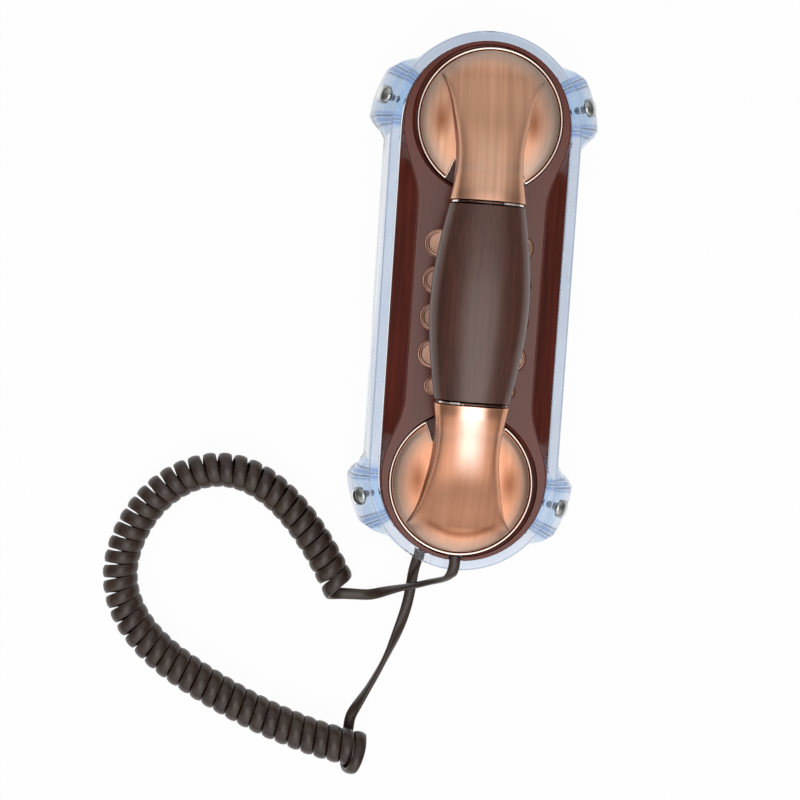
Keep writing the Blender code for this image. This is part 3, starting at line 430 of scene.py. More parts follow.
def relief(tree, shader, height, strength, depth):
    """A Bump node from that height, with its depth in metres, on the shader's Normal."""
    bump = node(tree, "Bump", [(height, "Height")], Strength=strength, Distance=depth)
    tree.links.new(bump.outputs[0], shader.inputs["Normal"])


def pitted(tree, shader, scale, strength, depth):
    """A fine moulded skin on the shader's Normal."""
    spot = node(tree, "TexCoord")
    pits = node(tree, "TexNoise", [(spot.outputs["Object"], "Vector")], Scale=scale, Detail=2.0)
    relief(tree, shader, pits.outputs["Fac"], strength, depth)


# %% Wood of the face plate and of the grip
def wood(name, dark, light, grain_scale, roughness, level, pore_depth, stripes, even_above=1.0, below=0.0):
    """Printed wood under lacquer: dark streaks along Y in a red-brown ground, with fine pores.

    Above the height even_above, in metres, the streaks fade into one even tone. Under that height the surface
    is rougher by the value below. The dark stripes have the share stripes.
    """
    made, tree, shader = material(name, Specular_IOR_Level=level, Specular_Tint=(1.0, 0.9, 0.84, 1))
    streaks = use(tree, grain, Scale=grain_scale, Along=0.035, Detail=8.0)
    ground = blend_colours(tree, streaks.outputs["Streaks"], dark, light, 0.36, 0.66)
    darker = tuple(value * 0.45 for value in dark)
    slow = node(tree, "MapRange", [(streaks.outputs["Slow"], "Value")], From_Min=0.5, From_Max=0.66, To_Max=stripes)
    printed = mix_colours(tree, slow.outputs[0], ground, darker)
    flat_top = window(tree, use(tree, ends).outputs["Height"], even_above, 2.0, 0.0002)
    even = tuple((low + high) * 0.64 for low, high in zip(dark, light))
    paint(tree, shader, overlay(tree, printed, even, 0.75, flat_top))
    gloss = use(tree, handled, Scale=70.0, Roughness=roughness + below, Change=0.1)
    glossier = maths(tree, "SUBTRACT", gloss.outputs["Roughness"], times(tree, flat_top, below))
    tree.links.new(glossier, shader.inputs["Roughness"])
    relief(tree, shader, streaks.outputs["Streaks"], 0.25, pore_depth)
    return made


FACE_WOOD = wood(
    "face_wood", (0.055, 0.006, 0.0028), (0.113, 0.0132, 0.006), grain_scale=560.0, roughness=0.18, level=0.48,
    pore_depth=0.000004, stripes=0.35, even_above=0.0288, below=0.08,
)  # fmt: skip
GRIP_WOOD = wood(
    "grip_wood", (0.045, 0.0105, 0.0055), (0.084, 0.023, 0.0125), grain_scale=950.0, roughness=0.31, level=0.75,
    pore_depth=0.00001, stripes=0.4,
)  # fmt: skip


# %% Copper, brushed along the phone
def copper(name, dark, light, roughness, change, brushing, painted_light=None):
    """Antique copper plating: brushed along Y, toned by hand, brighter on its edges, plus a cap's painted light."""
    made, tree, shader = material(name, Metallic=1.0)
    lines = use(tree, grain, Scale=2600.0, Along=0.02, Upward=0.02, Detail=5.0)
    tone = blend_colours(tree, lines.outputs["Slow"], dark, light, 0.3, 0.7)
    if painted_light:
        tone = painted_light(tree, tone)
    bright = tuple(min(1.0, value * 1.25 + 0.06) for value in light)
    paint(tree, shader, rubbed(tree, tone, bright, 0.53, 0.62))
    glossed(tree, shader, 45.0, roughness, change)
    relief(tree, shader, lines.outputs["Streaks"], brushing, 0.00003)
    return made


def cap_painted_light(rim_reflection, painted_middle, dark_reflection, foot_reflection_share):
    """Painted light on a cap: a painted reflection down the middle of the strip, a painted grey reflection on the
    disc's rim, a painted dark brown reflection of the strip's wall beside it and a painted dark reflection at its
    foot.

    The painted middle is a colour, half its width in metres, and its share. The foot's share is that of the dark
    reflection at the foot.
    """
    painted_middle_colour, painted_middle_width, painted_middle_share = painted_middle

    def with_painted_light(tree, tone):
        at, within = round_ends(tree, CUP_CENTRE)
        # A painted reflection down the middle of the strip, towards the grip: a pale painted highlight on the mouth
        # cap.
        low = within("Beyond", -0.1, -0.009, 0.009)
        core = times(tree, within("Aside", -0.1, painted_middle_width, 0.0035), low)
        tone = overlay(tree, tone, painted_middle_colour, painted_middle_share, core)
        # A painted grey reflection on the disc's outer rim.
        on_disc = within("Beyond", -0.0215, 1.0, 0.004)
        rim_reflection_mask = times(tree, within("Reach", 0.0238, 1.0, 0.0045), on_disc)
        tone = mix_colours(tree, rim_reflection_mask, tone, rim_reflection)
        # A painted dark reflection of the strip's wall on the disc beside it.
        across = maths(tree, "DIVIDE", maths(tree, "SUBTRACT", at["Aside"], 0.0185), 0.005)
        along = maths(tree, "DIVIDE", maths(tree, "ADD", at["Beyond"], 0.001), 0.0105)
        tone = overlay(tree, tone, dark_reflection, 0.85, window(tree, distance(tree, across, along), -1.0, 0.5, 0.5))
        # A painted dark reflection at the strip's foot, where it meets the disc.
        foot = times(tree, within("Reach", 0.0192, 0.0212, 0.0017), within("Beyond", 0.0155, 1.0, 0.003))
        return overlay(tree, tone, dark_reflection, foot_reflection_share, foot)

    return with_painted_light


# Painted light for each cap: these colours and masks stand in for its highlights and reflections.
MOUTH_PAINTED_LIGHT = cap_painted_light((0.37, 0.255, 0.2), ((0.95, 0.68, 0.57), 0.0045, 0.85), (0.3, 0.105, 0.05), 1.0)
EAR_PAINTED_LIGHT = cap_painted_light((0.4, 0.3, 0.245), ((0.62, 0.4, 0.3), 0.006, 0.4), (0.28, 0.095, 0.042), 0.12)
# Both caps are the same copper; their two materials differ in tone and gloss to follow the different light on each
# end.
MOUTH_COPPER = copper("mouth_copper", (0.6, 0.27, 0.155), (0.69, 0.33, 0.2), 0.25, 0.02, 0.06, MOUTH_PAINTED_LIGHT)
EAR_COPPER = copper("ear_copper", (0.56, 0.29, 0.182), (0.735, 0.395, 0.255), 0.33, 0.03, 0.14, EAR_PAINTED_LIGHT)
KEY_COPPER = copper("key_copper", (0.7, 0.4, 0.29), (0.8, 0.48, 0.36), 0.33, 0.04, 0.06)
TRIM_COPPER = copper("trim_copper", (0.86, 0.66, 0.57), (0.94, 0.76, 0.68), 0.16, 0.03, 0.03)


# %% Chrome and steel
def stud_chrome():
    """Chrome with a painted dark reflection on the head's inner half.

    The neck in the crystal is painted a pale, non-metallic colour instead, in place of its dark reflection.
    """
    made, tree, shader = material("stud_chrome", Metallic=1.0)
    marks = glossed(tree, shader, 180.0, 0.08, 0.04)
    at, within = round_ends(tree, RING_CENTRE)
    # The head's inner half gets a painted dark reflection; its outer half stays bright chrome.
    outward = within("Out", 0.0453, 1.0, 0.0009)
    painted_dark_half = blend_colours(tree, marks, (0.3, 0.31, 0.31), (0.4, 0.41, 0.41))
    head_tone = mix_colours(tree, outward, painted_dark_half, (0.88, 0.88, 0.88))
    # The neck inside the lug is painted a pale, non-metallic colour in place of its dark reflection.
    in_lug = window(tree, maths(tree, "ADD", at["Out"], at["Height"]), -1.0, 0.0618, 0.0003)
    paint(tree, shader, mix_colours(tree, in_lug, head_tone, (0.62, 0.7, 0.8)))
    tree.links.new(maths(tree, "SUBTRACT", 1.0, in_lug), shader.inputs["Metallic"])
    return made


def band_chrome():
    """Chrome broken by noise into dark brown patches: painted dark reflections between its bright pieces."""
    made, tree, shader = material("band_chrome", Metallic=1.0)
    marks = glossed(tree, shader, 110.0, 0.08, 0.05)
    # The dark brown patches are painted dark reflections.
    paint(tree, shader, blend_colours(tree, marks, (0.09, 0.055, 0.045), (0.9, 0.88, 0.86), 0.47, 0.54))
    return made


def zinc_steel():
    """Zinc-plated steel, dull and a little uneven."""
    made, tree, shader = material("zinc_steel", Metallic=1.0)
    marks = glossed(tree, shader, 180.0, 0.34, 0.15)
    paint(tree, shader, blend_colours(tree, marks, (0.473, 0.473, 0.4644), (0.55, 0.55, 0.54)))
    return made


STUD_CHROME, BAND_CHROME, STEEL = stud_chrome(), band_chrome(), zinc_steel()

# %% [markdown]
# The crystal surround is clear acrylic with a pale blue tint. Light that comes back through it from the white
# table is what the eye sees, so the shader stays a plain transmission glass with a tinted base colour. Fine
# specks and a faint ripple in the surface show that it is moulded and not cut. Refractions are painted into
# the base colour: blue and dark stripes where a lug meets the ring, a dark line along the outer top edge and a
# pale band at the foot.


# %% Crystal acrylic
def crystal():
    """Clear tinted acrylic with specks, paler towards the mouth end.

    Refractions are painted into its colour: a dark outer edge, a pale foot and stripes beside the lugs.
    """
    made, tree, shader = material("crystal", Transmission_Weight=1.0, IOR=1.49)
    spot = node(tree, "TexCoord").outputs["Object"]
    specks = node(tree, "TexVoronoi", [(spot, "Vector")], feature="F1", Scale=420.0)
    is_speck = node(tree, "MapRange", [(specks.outputs["Distance"], "Value")], From_Min=0.13, From_Max=0.08)
    marks = glossed(tree, shader, 25.0, 0.03, 0.04)
    tone = blend_colours(tree, marks, (0.52, 0.575, 0.66), (0.66, 0.7, 0.75))
    along = node(tree, "SeparateXYZ", [(spot, "Vector")]).outputs["Y"]
    # Paler towards the mouth end.
    tone = overlay(tree, tone, (0.86, 0.87, 0.9), 0.75, window(tree, along, -1.0, -0.07, 0.025))
    at, within = round_ends(tree, RING_CENTRE)
    # A painted dark refraction along the outer top edge.
    outer_edge = times(tree, within("Out", 0.0381, 0.0387, 0.0002), within("Height", 0.0225, 1.0, 0.0008))
    tone = overlay(tree, tone, (0.16, 0.22, 0.34), 0.6, outer_edge)
    # A painted pale band of light at the foot.
    foot = times(tree, within("Out", 0.0404, 0.0418, 0.0004), within("Height", -1.0, 0.012, 0.004))
    tone = mix_colours(tree, foot, tone, (0.9, 0.91, 0.93))
    tone = painted_lug_refractions(tree, tone, at, within)
    paint(tree, shader, mix_colours(tree, is_speck.outputs[0], tone, (0.9, 0.95, 1.0)))
    relief(tree, shader, marks, 0.15, 0.0003)
    depth_tint = node(tree, "VolumeAbsorption", Color=(0.5, 0.66, 0.9, 1), Density=15.0)
    output = next(item for item in tree.nodes if item.type == "OUTPUT_MATERIAL")
    tree.links.new(depth_tint.outputs[0], output.inputs["Volume"])
    return made


def painted_lug_refractions(tree, tone, at, within):
    """The tone with painted refractions beside the lugs: a blue tint and blue and dark stripes."""
    beside = times(tree, within("Angle", -0.04, 0.62, 0.03), within("Out", 0.0, 0.0383, 0.0003))
    tone = overlay(tree, tone, (0.33, 0.53, 0.78), 0.75, beside)
    # Painted blue and dark stripes at both ends of each lug, standing in for refractions of its end faces.
    stripe_bands = maths(tree, "ADD", within("Angle", -0.04, 0.1, 0.02), within("Angle", 0.45, 0.6, 0.02))
    stripe_bands = times(tree, stripe_bands, within("Height", 0.004, 1.0, 0.001))
    step = within("Out", 0.0, 0.0384, 0.0002)  # the stripes jump by half their width at the ring's edge
    wave = maths(tree, "SINE", maths(tree, "ADD", times(tree, at["Angle"], 78.0), times(tree, step, 2.6)))
    blue_stripes = times(tree, window(tree, wave, 0.0, 2.0, 0.35), stripe_bands)
    tone = overlay(tree, tone, (0.035, 0.1, 0.36), 0.72, blue_stripes)
    dark_line = times(tree, window(tree, wave, -2.0, -0.6, 0.2), stripe_bands)
    return overlay(tree, tone, (0.05, 0.07, 0.12), 0.85, dark_line)


CRYSTAL = crystal()


# %% Moulded plastics, rubber and board
def moulded(name, colour, roughness, depth=0.00003):
    """Moulded plastic: a spark-eroded grain, small changes of colour, and edges rubbed a little lighter."""
    made, tree, shader = material(name)
    marks = glossed(tree, shader, 90.0, roughness, 0.12)
    lighter = tuple(min(1.0, value * 1.3 + 0.004) for value in colour)
    tone = blend_colours(tree, marks, colour, lighter)
    bright = tuple(min(1.0, value * 1.7 + 0.012) for value in colour)
    paint(tree, shader, rubbed(tree, tone, bright, 0.55, 0.68))
    pitted(tree, shader, 2200.0, 0.5, depth)
    return made


CUP_PLASTIC = moulded("cup_plastic", (0.062, 0.018, 0.012), 0.36)
BACK_PLASTIC = moulded("back_plastic", (0.022, 0.016, 0.014), 0.48)
BLACK_PLASTIC = moulded("black_plastic", (0.014, 0.014, 0.015), 0.42)
SILICONE = moulded("keypad_silicone", (0.3, 0.3, 0.29), 0.6)
BOARD_LACQUER = moulded("board_lacquer", (0.012, 0.09, 0.035), 0.3)
PLUG_PLASTIC = moulded("plug_plastic", (0.026, 0.019, 0.016), 0.2, depth=0.00001)

# %% [markdown]
# ## The table and the light
# The table is a pale sheet. What the camera, a reflection or the crystal sees of it is mostly a plain white
# emission of strength 1, and the rest is its real, shaded surface, which keeps the soft shadow of the phone.
# One large soft light hangs high above the mouth end, a little to the right. It lies in the flat top of the
# face as a grey sheen that fades towards the ear end, while the sloping facets beside it mirror the dim sides
# of the room and stay dark red, as in the photograph.


# %% The table
def table_paint(plain_white=0.96):
    """A matt white, of which that share is plain emission wherever the table is seen."""
    made = bpy.data.materials.new("table_paint")
    made.use_nodes = True
    tree = made.node_tree
    tree.nodes.clear()
    ray = node(tree, "LightPath").outputs
    seen = maths(tree, "MAXIMUM", ray["Is Camera Ray"], ray["Is Glossy Ray"])
    seen = maths(tree, "MAXIMUM", seen, ray["Is Transmission Ray"])
    matt = node(tree, "BsdfDiffuse", Color=(0.82, 0.82, 0.82, 1))
    white = node(tree, "Emission", Strength=1.0)
    share = times(tree, seen, plain_white)
    mixed = node(tree, "MixShader", [(share, 0), (matt.outputs[0], 1), (white.outputs[0], 2)])
    node(tree, "OutputMaterial", [(mixed.outputs[0], "Surface")])
    return made


sheet = bmesh.new()
bmesh.ops.create_grid(sheet, x_segments=2, y_segments=2, size=3.0)
bmesh.ops.translate(sheet, verts=sheet.verts, vec=(0, 0, -0.2 * MM))
table = as_object("table", sheet)
table.data.materials.append(table_paint())
table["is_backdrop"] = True


# %% The room
# The room is brighter in front of and behind the phone than beside it: two wide pale walls face its ends, and
# the sides are dim, which gives the chrome its dark half and the copper strip its darker edges.
def room():
    """A world that is plain white to the camera, and lights the phone as a room does."""
    world = bpy.data.worlds.new("room")
    world.use_nodes = True
    bpy.context.scene.world = world
    tree = world.node_tree
    tree.nodes.clear()
    ray = node(tree, "LightPath").outputs
    facing = node(tree, "SeparateXYZ", [(node(tree, "TexCoord").outputs["Generated"], "Vector")]).outputs
    ceiling = node(
        tree, "MapRange", [(facing["Z"], "Value")], From_Min=0.0, From_Max=1.0, To_Min=0.36, To_Max=0.72
    ).outputs[0]
    dim_side = smooth(tree, maths(tree, "ABSOLUTE", facing["X"]), 0.22, 0.62, 1.0, 0.42)
    front = smooth(tree, facing["Y"], -0.12, -0.75, 0.0, 0.8)
    behind = smooth(tree, facing["Y"], 0.12, 0.75, 0.0, 0.42)
    above_floor = smooth(tree, facing["Z"], 0.08, 0.26)
    walls = times(tree, maths(tree, "ADD", front, behind), above_floor)
    level = maths(tree, "ADD", times(tree, ceiling, dim_side), walls)
    lit = node(tree, "Background", [(level, "Strength")], Color=(1, 1, 1, 1))
    white = node(tree, "Background", Color=(1, 1, 1, 1), Strength=1.0)
    mixed = node(tree, "MixShader", [(ray["Is Camera Ray"], 0), (lit.outputs[0], 1), (white.outputs[0], 2)])
    node(tree, "OutputWorld", [(mixed.outputs[0], "Surface")])


# %% The lamps
def soft_light(name, spot, aim, size, power):
    """A rectangular soft light that looks from its spot to the aim point."""
    data = bpy.data.lights.new(name, "AREA")
    data.shape, data.size, data.size_y, data.energy = "RECTANGLE", size[0], size[1], power
    made = bpy.data.objects.new(name, data)
    bpy.context.scene.collection.objects.link(made)
    made.location = spot
    made.rotation_euler = (Vector(aim) - Vector(spot)).to_track_quat("-Z", "Y").to_euler()


room()
soft_light("overhead_light", (0.12, -0.36, 1.5), (0.12, -0.36, 0), (1.0, 1.2), 6.2)
soft_light("front_strip", (0.02, -1.0, 1.05), (0.0, -0.06, 0.06), (0.3, 1.2), 0.56)
print("one room, a wide lamp above and a weak, narrow strip in front")

# %% [markdown]
# ## The cord
# The cord is one flat, ribbed cord from the plug in the handset to the plug in the base: 2.09 m of it, most of
# it wound as a coil of 49 turns. Its route is a list of the points it passes, and a smooth curve runs through
# them. The coil is a loop over the turns, not a list. One section is then drawn along the whole route, so
# nothing is joined and no end shows.

# %% The cord's route
CORD_WIDTH, CORD_THICKNESS = 4.6 * MM, 2.5 * MM
COIL_WIDTH = 5.3 * MM  # wound up, the cord spreads until its turns touch
COIL_WIRE = 4.3 * MM  # the straight run at each end of the coil
COIL_RADIUS = 6.05 * MM
COIL_TURNS, STEPS_A_TURN = 49, 24
AXIS_STEPS, LEAD_STEPS = 800, 400  # even steps along the coil's axis, and along a lead
COIL_ROUTE = [
    (-48.1, -122.8), (-56.6, -108.3), (-69.9, -91.3), (-86.4, -79.4), (-104.0, -76.8), (-121.4, -84.4),
    (-134.2, -99.6), (-140.4, -119.5), (-136.8, -137.3), (-124.5, -153.2), (-105.7, -165.8), (-82.7, -177.6),
    (-60.2, -186.0), (-32.0, -191.9),
]  # fmt: skip
HANDSET_LEAD_ROUTE = [  # x, y, z in mm, and the turn of the flat cord about its own run in degrees
    (-1.2, -103.9, 26.3, 0), (-1.1, -105.9, 26.4, 0), (-1.2, -107.8, 26.3, 0), (-1.6, -110.2, 25.9, 8),
    (-2.5, -112.4, 24.0, 30), (-4.2, -114.4, 20.6, 58), (-6.9, -116.0, 16.7, 76), (-10.8, -117.7, 12.8, 85),
    (-14.9, -119.6, 9.6, 90), (-20.1, -121.3, 7.3, 98), (-24.8, -122.9, 5.6, 113), (-29.5, -124.6, 3.8, 140),
    (-33.6, -126.1, 2.2, 167),
]  # fmt: skip
BASE_LEAD_ROUTE = [
    (-15.0, -102.3, 6.2, 0), (-15.3, -106.4, 6.2, 0), (-16.3, -111.0, 5.2, 0), (-17.1, -115.6, 3.0, 0),
    (-17.5, -120.4, 1.5, 0), (-18.2, -126.0, 1.3, 0), (-19.3, -132.0, 1.4, 5), (-21.6, -140.0, 1.9, 25),
    (-25.0, -149.5, 2.6, 65), (-28.8, -158.2, 2.6, 90), (-33.0, -166.7, 2.4, 104), (-36.9, -173.8, 1.9, 135),
    (-39.2, -178.2, 1.4, 170),
]  # fmt: skip


# %% Smooth curves through a route
def smooth_route(points, samples=16):
    """A smooth curve close to the points: a cubic B-spline whose control points are pushed out to meet them."""
    points = [Vector(point) for point in points]
    padded = [2 * points[0] - points[1], *points, 2 * points[-1] - points[-2]]
    control = [
        point + (2 * point - before - after) / 6 for before, point, after in zip(padded, padded[1:], padded[2:])
    ]
    control = [2 * control[0] - control[1], *control, 2 * control[-1] - control[-2]]
    curve = []
    for a, b, c, d in zip(control, control[1:], control[2:], control[3:]):
        for step in range(samples):
            t = step / samples
            pull = (1 - t) ** 3 * a + (3 * t**3 - 6 * t**2 + 4) * b + (3 * t + 3 * t**2 - 3 * t**3 + 1) * c
            curve.append((pull + t**3 * d) / 6)
    curve.append((control[-3] + 4 * control[-2] + control[-1]) / 6)
    return curve


def spaced(curve, count):
    """The curve again, as count + 1 points at even steps along it, and its length."""
    along = [0.0]
    for before, after in zip(curve, curve[1:]):
        along.append(along[-1] + (after - before).length)
    found, index = [], 0
    for step in range(count + 1):
        target = along[-1] * step / count
        while index < len(curve) - 2 and along[index + 1] < target:
            index += 1
        share = (target - along[index]) / (along[index + 1] - along[index])
        found.append(curve[index].lerp(curve[index + 1], share))
    return found, along[-1]


def ease(value, start, end):
    """0 up to start, 1 from end on, and smooth between."""
    share = min(max((value - start) / (end - start), 0.0), 1.0)
    return share * share * (3 - 2 * share)


# %% The coil
def coil_points():
    """The helix about the coil's route, and the way out from the axis at each of its points."""
    axis, length = spaced(smooth_route([(x * MM, y * MM, 0) for x, y in COIL_ROUTE]), AXIS_STEPS)
    points, outward = [], []
    for step in range(COIL_TURNS * STEPS_A_TURN + 1):
        turn = step / STEPS_A_TURN
        left = COIL_TURNS - turn
        start = max(0.0, 1 - turn / 0.6)  # the first half turn is drawn out towards the handset
        along = length * turn / COIL_TURNS - 4.5 * MM * start**2 - 9.5 * MM * ease(-left, -0.6, 0.1)
        share = along / length * AXIS_STEPS
        index = min(max(int(share), 0), AXIS_STEPS - 1)
        centre = axis[index] + (axis[index + 1] - axis[index]) * (share - index)
        side = (axis[index + 1] - axis[index]).normalized().cross(UP)
        radius = COIL_RADIUS + 0.35 * MM * ease(turn, 22, 34) + 2.7 * MM * ease(-left, -0.62, -0.36)
        lift = 2.9 * MM * ease(-left, -7.0, -2.5) * (1 - ease(-left, -0.55, -0.05))
        out = side * -math.sin(2 * math.pi * turn) - UP * math.cos(2 * math.pi * turn)
        centre.z = radius + 1.3 * MM + lift
        points.append(centre + out * radius)
        outward.append(out)
    return points, outward


def lead_points(route, spacing=1.3 * MM):
    """A flat lead's points, and the way its flat face looks at each."""
    tiny = 1e-6  # the turn rides along as a fourth value, too small to count in the length
    scaled = [(x * MM, y * MM, z * MM, turn * tiny) for x, y, z, turn in route]
    curve, length = spaced(smooth_route(scaled), LEAD_STEPS)
    found, _ = spaced(curve, round(length / spacing))
    points, faces_to = [point.to_3d() for point in found], []
    for index, point in enumerate(found):
        tangent = (points[min(index + 1, len(points) - 1)] - points[max(index - 1, 0)]).normalized()
        side = tangent.cross(UP)
        if side.length < 0.2:
            side = Vector((0, -1, 0))
        twist = math.radians(point.w / tiny)
        faces_to.append(UP * math.cos(twist) - side.normalized() * math.sin(twist))
    return points, faces_to


# %% The whole route, from the handset to the base
def cord_route():
    """Every centre point of the cord and the way its flat face looks there."""
    coil, outward = coil_points()
    coil_ends = []
    for first, second in ((coil[0], coil[1]), (coil[-1], coil[-2])):
        run = first - second
        run.z = 0
        coil_ends.append((first, run.normalized()))
    leads = []
    for (first, run), route in zip(coil_ends, (HANDSET_LEAD_ROUTE, BASE_LEAD_ROUTE)):
        meet = first + run * (COIL_WIRE + 0.3 * MM)
        tail = [(*(value / MM for value in point), 180) for point in (meet + run * COIL_WIRE, meet)]
        leads.append(lead_points([*route, *tail]))
    between = [first + run * COIL_WIRE / 2 for first, run in coil_ends]
    points = [*leads[0][0], between[0], *coil, between[1], *reversed(leads[1][0])]
    faces_to = [*leads[0][1], outward[0], *outward, outward[-1], *reversed(leads[1][1])]
    return points, faces_to, [len(lead[0]) for lead in leads]


cord_centre, cord_faces, LEAD_COUNTS = cord_route()

# %% [markdown]
# The section of the cord is a rounded strip with two shallow grooves on each flat side, where its four wires
# lie beside each other. It is a little wider where it goes into the handset, as a moulded strain relief is.


# %% The cord's section and its sweep
def cord_section(width, thickness, steps=20):
    """The strip's outline, as (across, out) pairs: a soft rectangle with two grooves on each flat side."""
    outline = []
    for step in range(steps):
        angle = 2 * math.pi * step / steps
        across = math.copysign(abs(math.cos(angle)) ** 0.7, math.cos(angle)) * width / 2
        out = math.copysign(abs(math.sin(angle)) ** 0.85, math.sin(angle)) * thickness / 2
        groove = 0.14 * MM * math.cos(3 * math.pi * across / width) ** 4 if abs(across) < 0.4 * width else 0
        outline.append((across, out - math.copysign(groove * (abs(across) > 0.1 * width), out)))
    return outline


def cord_rings(points, faces_to):
    """A section at every point of the route, wider along the coil than in the leads."""
    rings = []
    for index, point in enumerate(points):
        tangent = (points[min(index + 1, len(points) - 1)] - points[max(index - 1, 0)]).normalized()
        normal = faces_to[index] - tangent * faces_to[index].dot(tangent)
        normal.normalize()
        across = tangent.cross(normal)
        coiled = ease(index, LEAD_COUNTS[0] - 4, LEAD_COUNTS[0] + 8)
        coiled *= ease(len(points) - index, LEAD_COUNTS[1] + 12, LEAD_COUNTS[1] + 32)
        width = CORD_WIDTH + (COIL_WIDTH - CORD_WIDTH) * coiled
        rings.append([point + across * u + normal * v for u, v in cord_section(width, CORD_THICKNESS)])
    return rings


def cord_material():
    """Flexible PVC in a dark brown: satin, with a very fine skin and edges rubbed a little lighter."""
    made, tree, shader = material("cord_pvc", Specular_IOR_Level=0.5)
    marks = glossed(tree, shader, 130.0, 0.33, 0.1)
    tone = blend_colours(tree, marks, (0.022, 0.0097, 0.0057), (0.038, 0.0192, 0.0118))
    paint(tree, shader, rubbed(tree, tone, (0.05, 0.036, 0.03), 0.56, 0.66))
    pitted(tree, shader, 1600.0, 0.35, 0.00004)
    return made


cord = as_object("phone_cord", drawn_out(cord_rings(cord_centre, cord_faces)), 50)
place(cord, None, cord_material(), "cord", "handset_lead", "curly_cord", "base_lead")

# %% [markdown]
# ## The crystal surround
# The surround is moulded in clear acrylic: a long ring that tapers towards its top, with two lugs at each end
# that hold it on the wall. Its outline is a pair of half circles with straight sides. The lugs are drawn out
# from cut to cut about the corner and joined on, so the whole is one piece of glass without inner faces.


# %% The long ring
def long_outline(radius, z, centre=RING_CENTRE, side_steps=2, waist=None, arc_steps=40):
    """The points of a long round-ended outline, counterclockwise from the right-hand side, given in mm.

    With a waist, its long sides come in to that half width along the middle.
    """
    outline = []
    for end in (1, -1):
        for step in range(arc_steps + 1):
            angle = math.pi * step / arc_steps + (0 if end > 0 else math.pi)
            outline.append([radius * math.cos(angle), end * centre + radius * math.sin(angle)])
        for step in range(1, side_steps):
            share = step / side_steps
            outline.append([-end * radius, end * centre * (1 - 2 * share)])
    if waist is not None:
        for point in outline:
            s = min(max((abs(point[1]) - 40) / 30, 0.0), 1.0)
            half = waist + (radius - waist) * s * s * (3 - 2 * s)
            if abs(point[1]) < 72:
                point[0] = math.copysign(min(half, abs(point[0])), point[0])
    return [Vector((x, y, z)) * MM for x, y in outline]


RING_STEPS = [  # radius and height in mm, up the outside and down the inside
    (41.6, 0.6), (41.5, 1.0), (38.9, 23.6), (38.7, 24.0), (38.2, 24.5), (35.1, 24.5), (34.7, 24.1), (34.7, 0.6),
]  # fmt: skip
ring = drawn_out([long_outline(radius, z) for radius, z in RING_STEPS], closed=True)
surround = as_object("crystal_ring", ring, 25)

# %% The lugs
LUG_CUTS = [  # angle in degrees, foot radius, shoulder radius, upper radius in mm
    (-8, 41.2, 39.4, 38.2), (-3, 43.3, 41.3, 38.3), (1.5, 46.6, 44.3, 38.6), (4.5, 48.2, 45.6, 38.8),
    (11, 48.1, 45.6, 38.8), (17.5, 48.0, 45.6, 38.8), (24, 48.0, 45.6, 38.8), (30, 48.0, 45.6, 38.8),
    (36, 45.6, 43.4, 38.6), (41, 42.8, 40.8, 38.2), (46, 40.8, 39.0, 37.8),
]  # fmt: skip
STUD_ANGLE, STUD_REACH, STUD_Z = math.radians(15.0), 43.9, 19.3  # about the round end's centre, and up, in mm


def lug(side, end):
    """One lug as a closed body, for the right or left side (1, -1) and the upper or lower end (1, -1)."""
    rings = []
    for angle, foot, shoulder, upper in LUG_CUTS:
        angle = math.radians(angle)
        out = Vector((side * math.cos(angle), end * math.sin(angle), 0))
        base = Vector((0, end * RING_CENTRE, 0))
        cut = [(36.4, 1.0), (foot - 0.5, 1.0), (foot, 1.5), (shoulder + 0.2, 16.6), (shoulder - 0.3, 17.6),
               (upper + 0.5, 23.4), (upper - 0.3, 23.8), (36.4, 23.8)]  # fmt: skip
        rings.append([(base + out * radius + UP * z) * MM for radius, z in cut])
    return as_object("lug", drawn_out(rings), 20)


def stud_turn(side, end):
    """Turns a stud from Z to its own axis, which leans outwards by 45 degrees, and puts it in its lug."""
    out = Vector((side * math.cos(STUD_ANGLE), end * math.sin(STUD_ANGLE), 0))
    axis = (out + UP).normalized()
    seat = (Vector((0, end * RING_CENTRE, 0)) + out * STUD_REACH + UP * STUD_Z) * MM
    return Matrix.Translation(seat) @ axis.to_track_quat("Z", "Y").to_matrix().to_4x4()


COUNTERBORE = [(0, -0.9), (4.2, -0.9), (4.2, 6), (0, 6)]
CORNERS = [(1, 1), (-1, 1), (-1, -1), (1, -1)]
for side, end in CORNERS:
    carve(surround, lug(side, end), 20, "UNION")
for side, end in CORNERS:
    hole = turned(COUNTERBORE, 32)
    bmesh.ops.transform(hole, matrix=stud_turn(side, end), verts=hole.verts)
    carve(surround, as_object("hole", hole), 20)
carve_box(surround, (-0.015, -0.108, 0.0046), (0.0092, 0.016, 0.01), 20)  # the port for the cord's plug
surround.name = "crystal_surround_clear"
place(surround, "body", CRYSTAL, "crystal", "crystal_surround")

# %% [markdown]
# ## The studs
# Each lug holds a chrome stud with a domed head, a thin neck and a wider foot. It is turned on a lathe in one
# go and leant outwards. Only the head has a hole in the lug. The neck is set straight in the crystal, because
# a gap round it would show as a dark tube. The head's inner half has a painted dark reflection, and the neck
# is painted a pale, non-metallic colour in place of its dark reflection.

# %% The studs
STUD = [(0, 1.3), (0.8, 1.27), (1.6, 1.15), (2.4, 0.92), (3.1, 0.55), (3.6, 0.1), (3.85, -0.25), (3.9, -0.6),
        (0.9, -0.6), (0.5, -1.2), (0.5, -6.4), (1.5, -6.4), (1.5, -8.2), (1.2, -8.6), (0, -8.6)]  # fmt: skip
for number, (side, end) in enumerate([(-1, 1), (1, 1), (-1, -1), (1, -1)], 1):
    stud = turned(STUD, 40)
    bmesh.ops.transform(stud, matrix=stud_turn(side, end), verts=stud.verts)
    place(as_object(f"chrome_stud_{number}", stud, 40), "body", STUD_CHROME, "chrome", f"lug_stud_{number}")

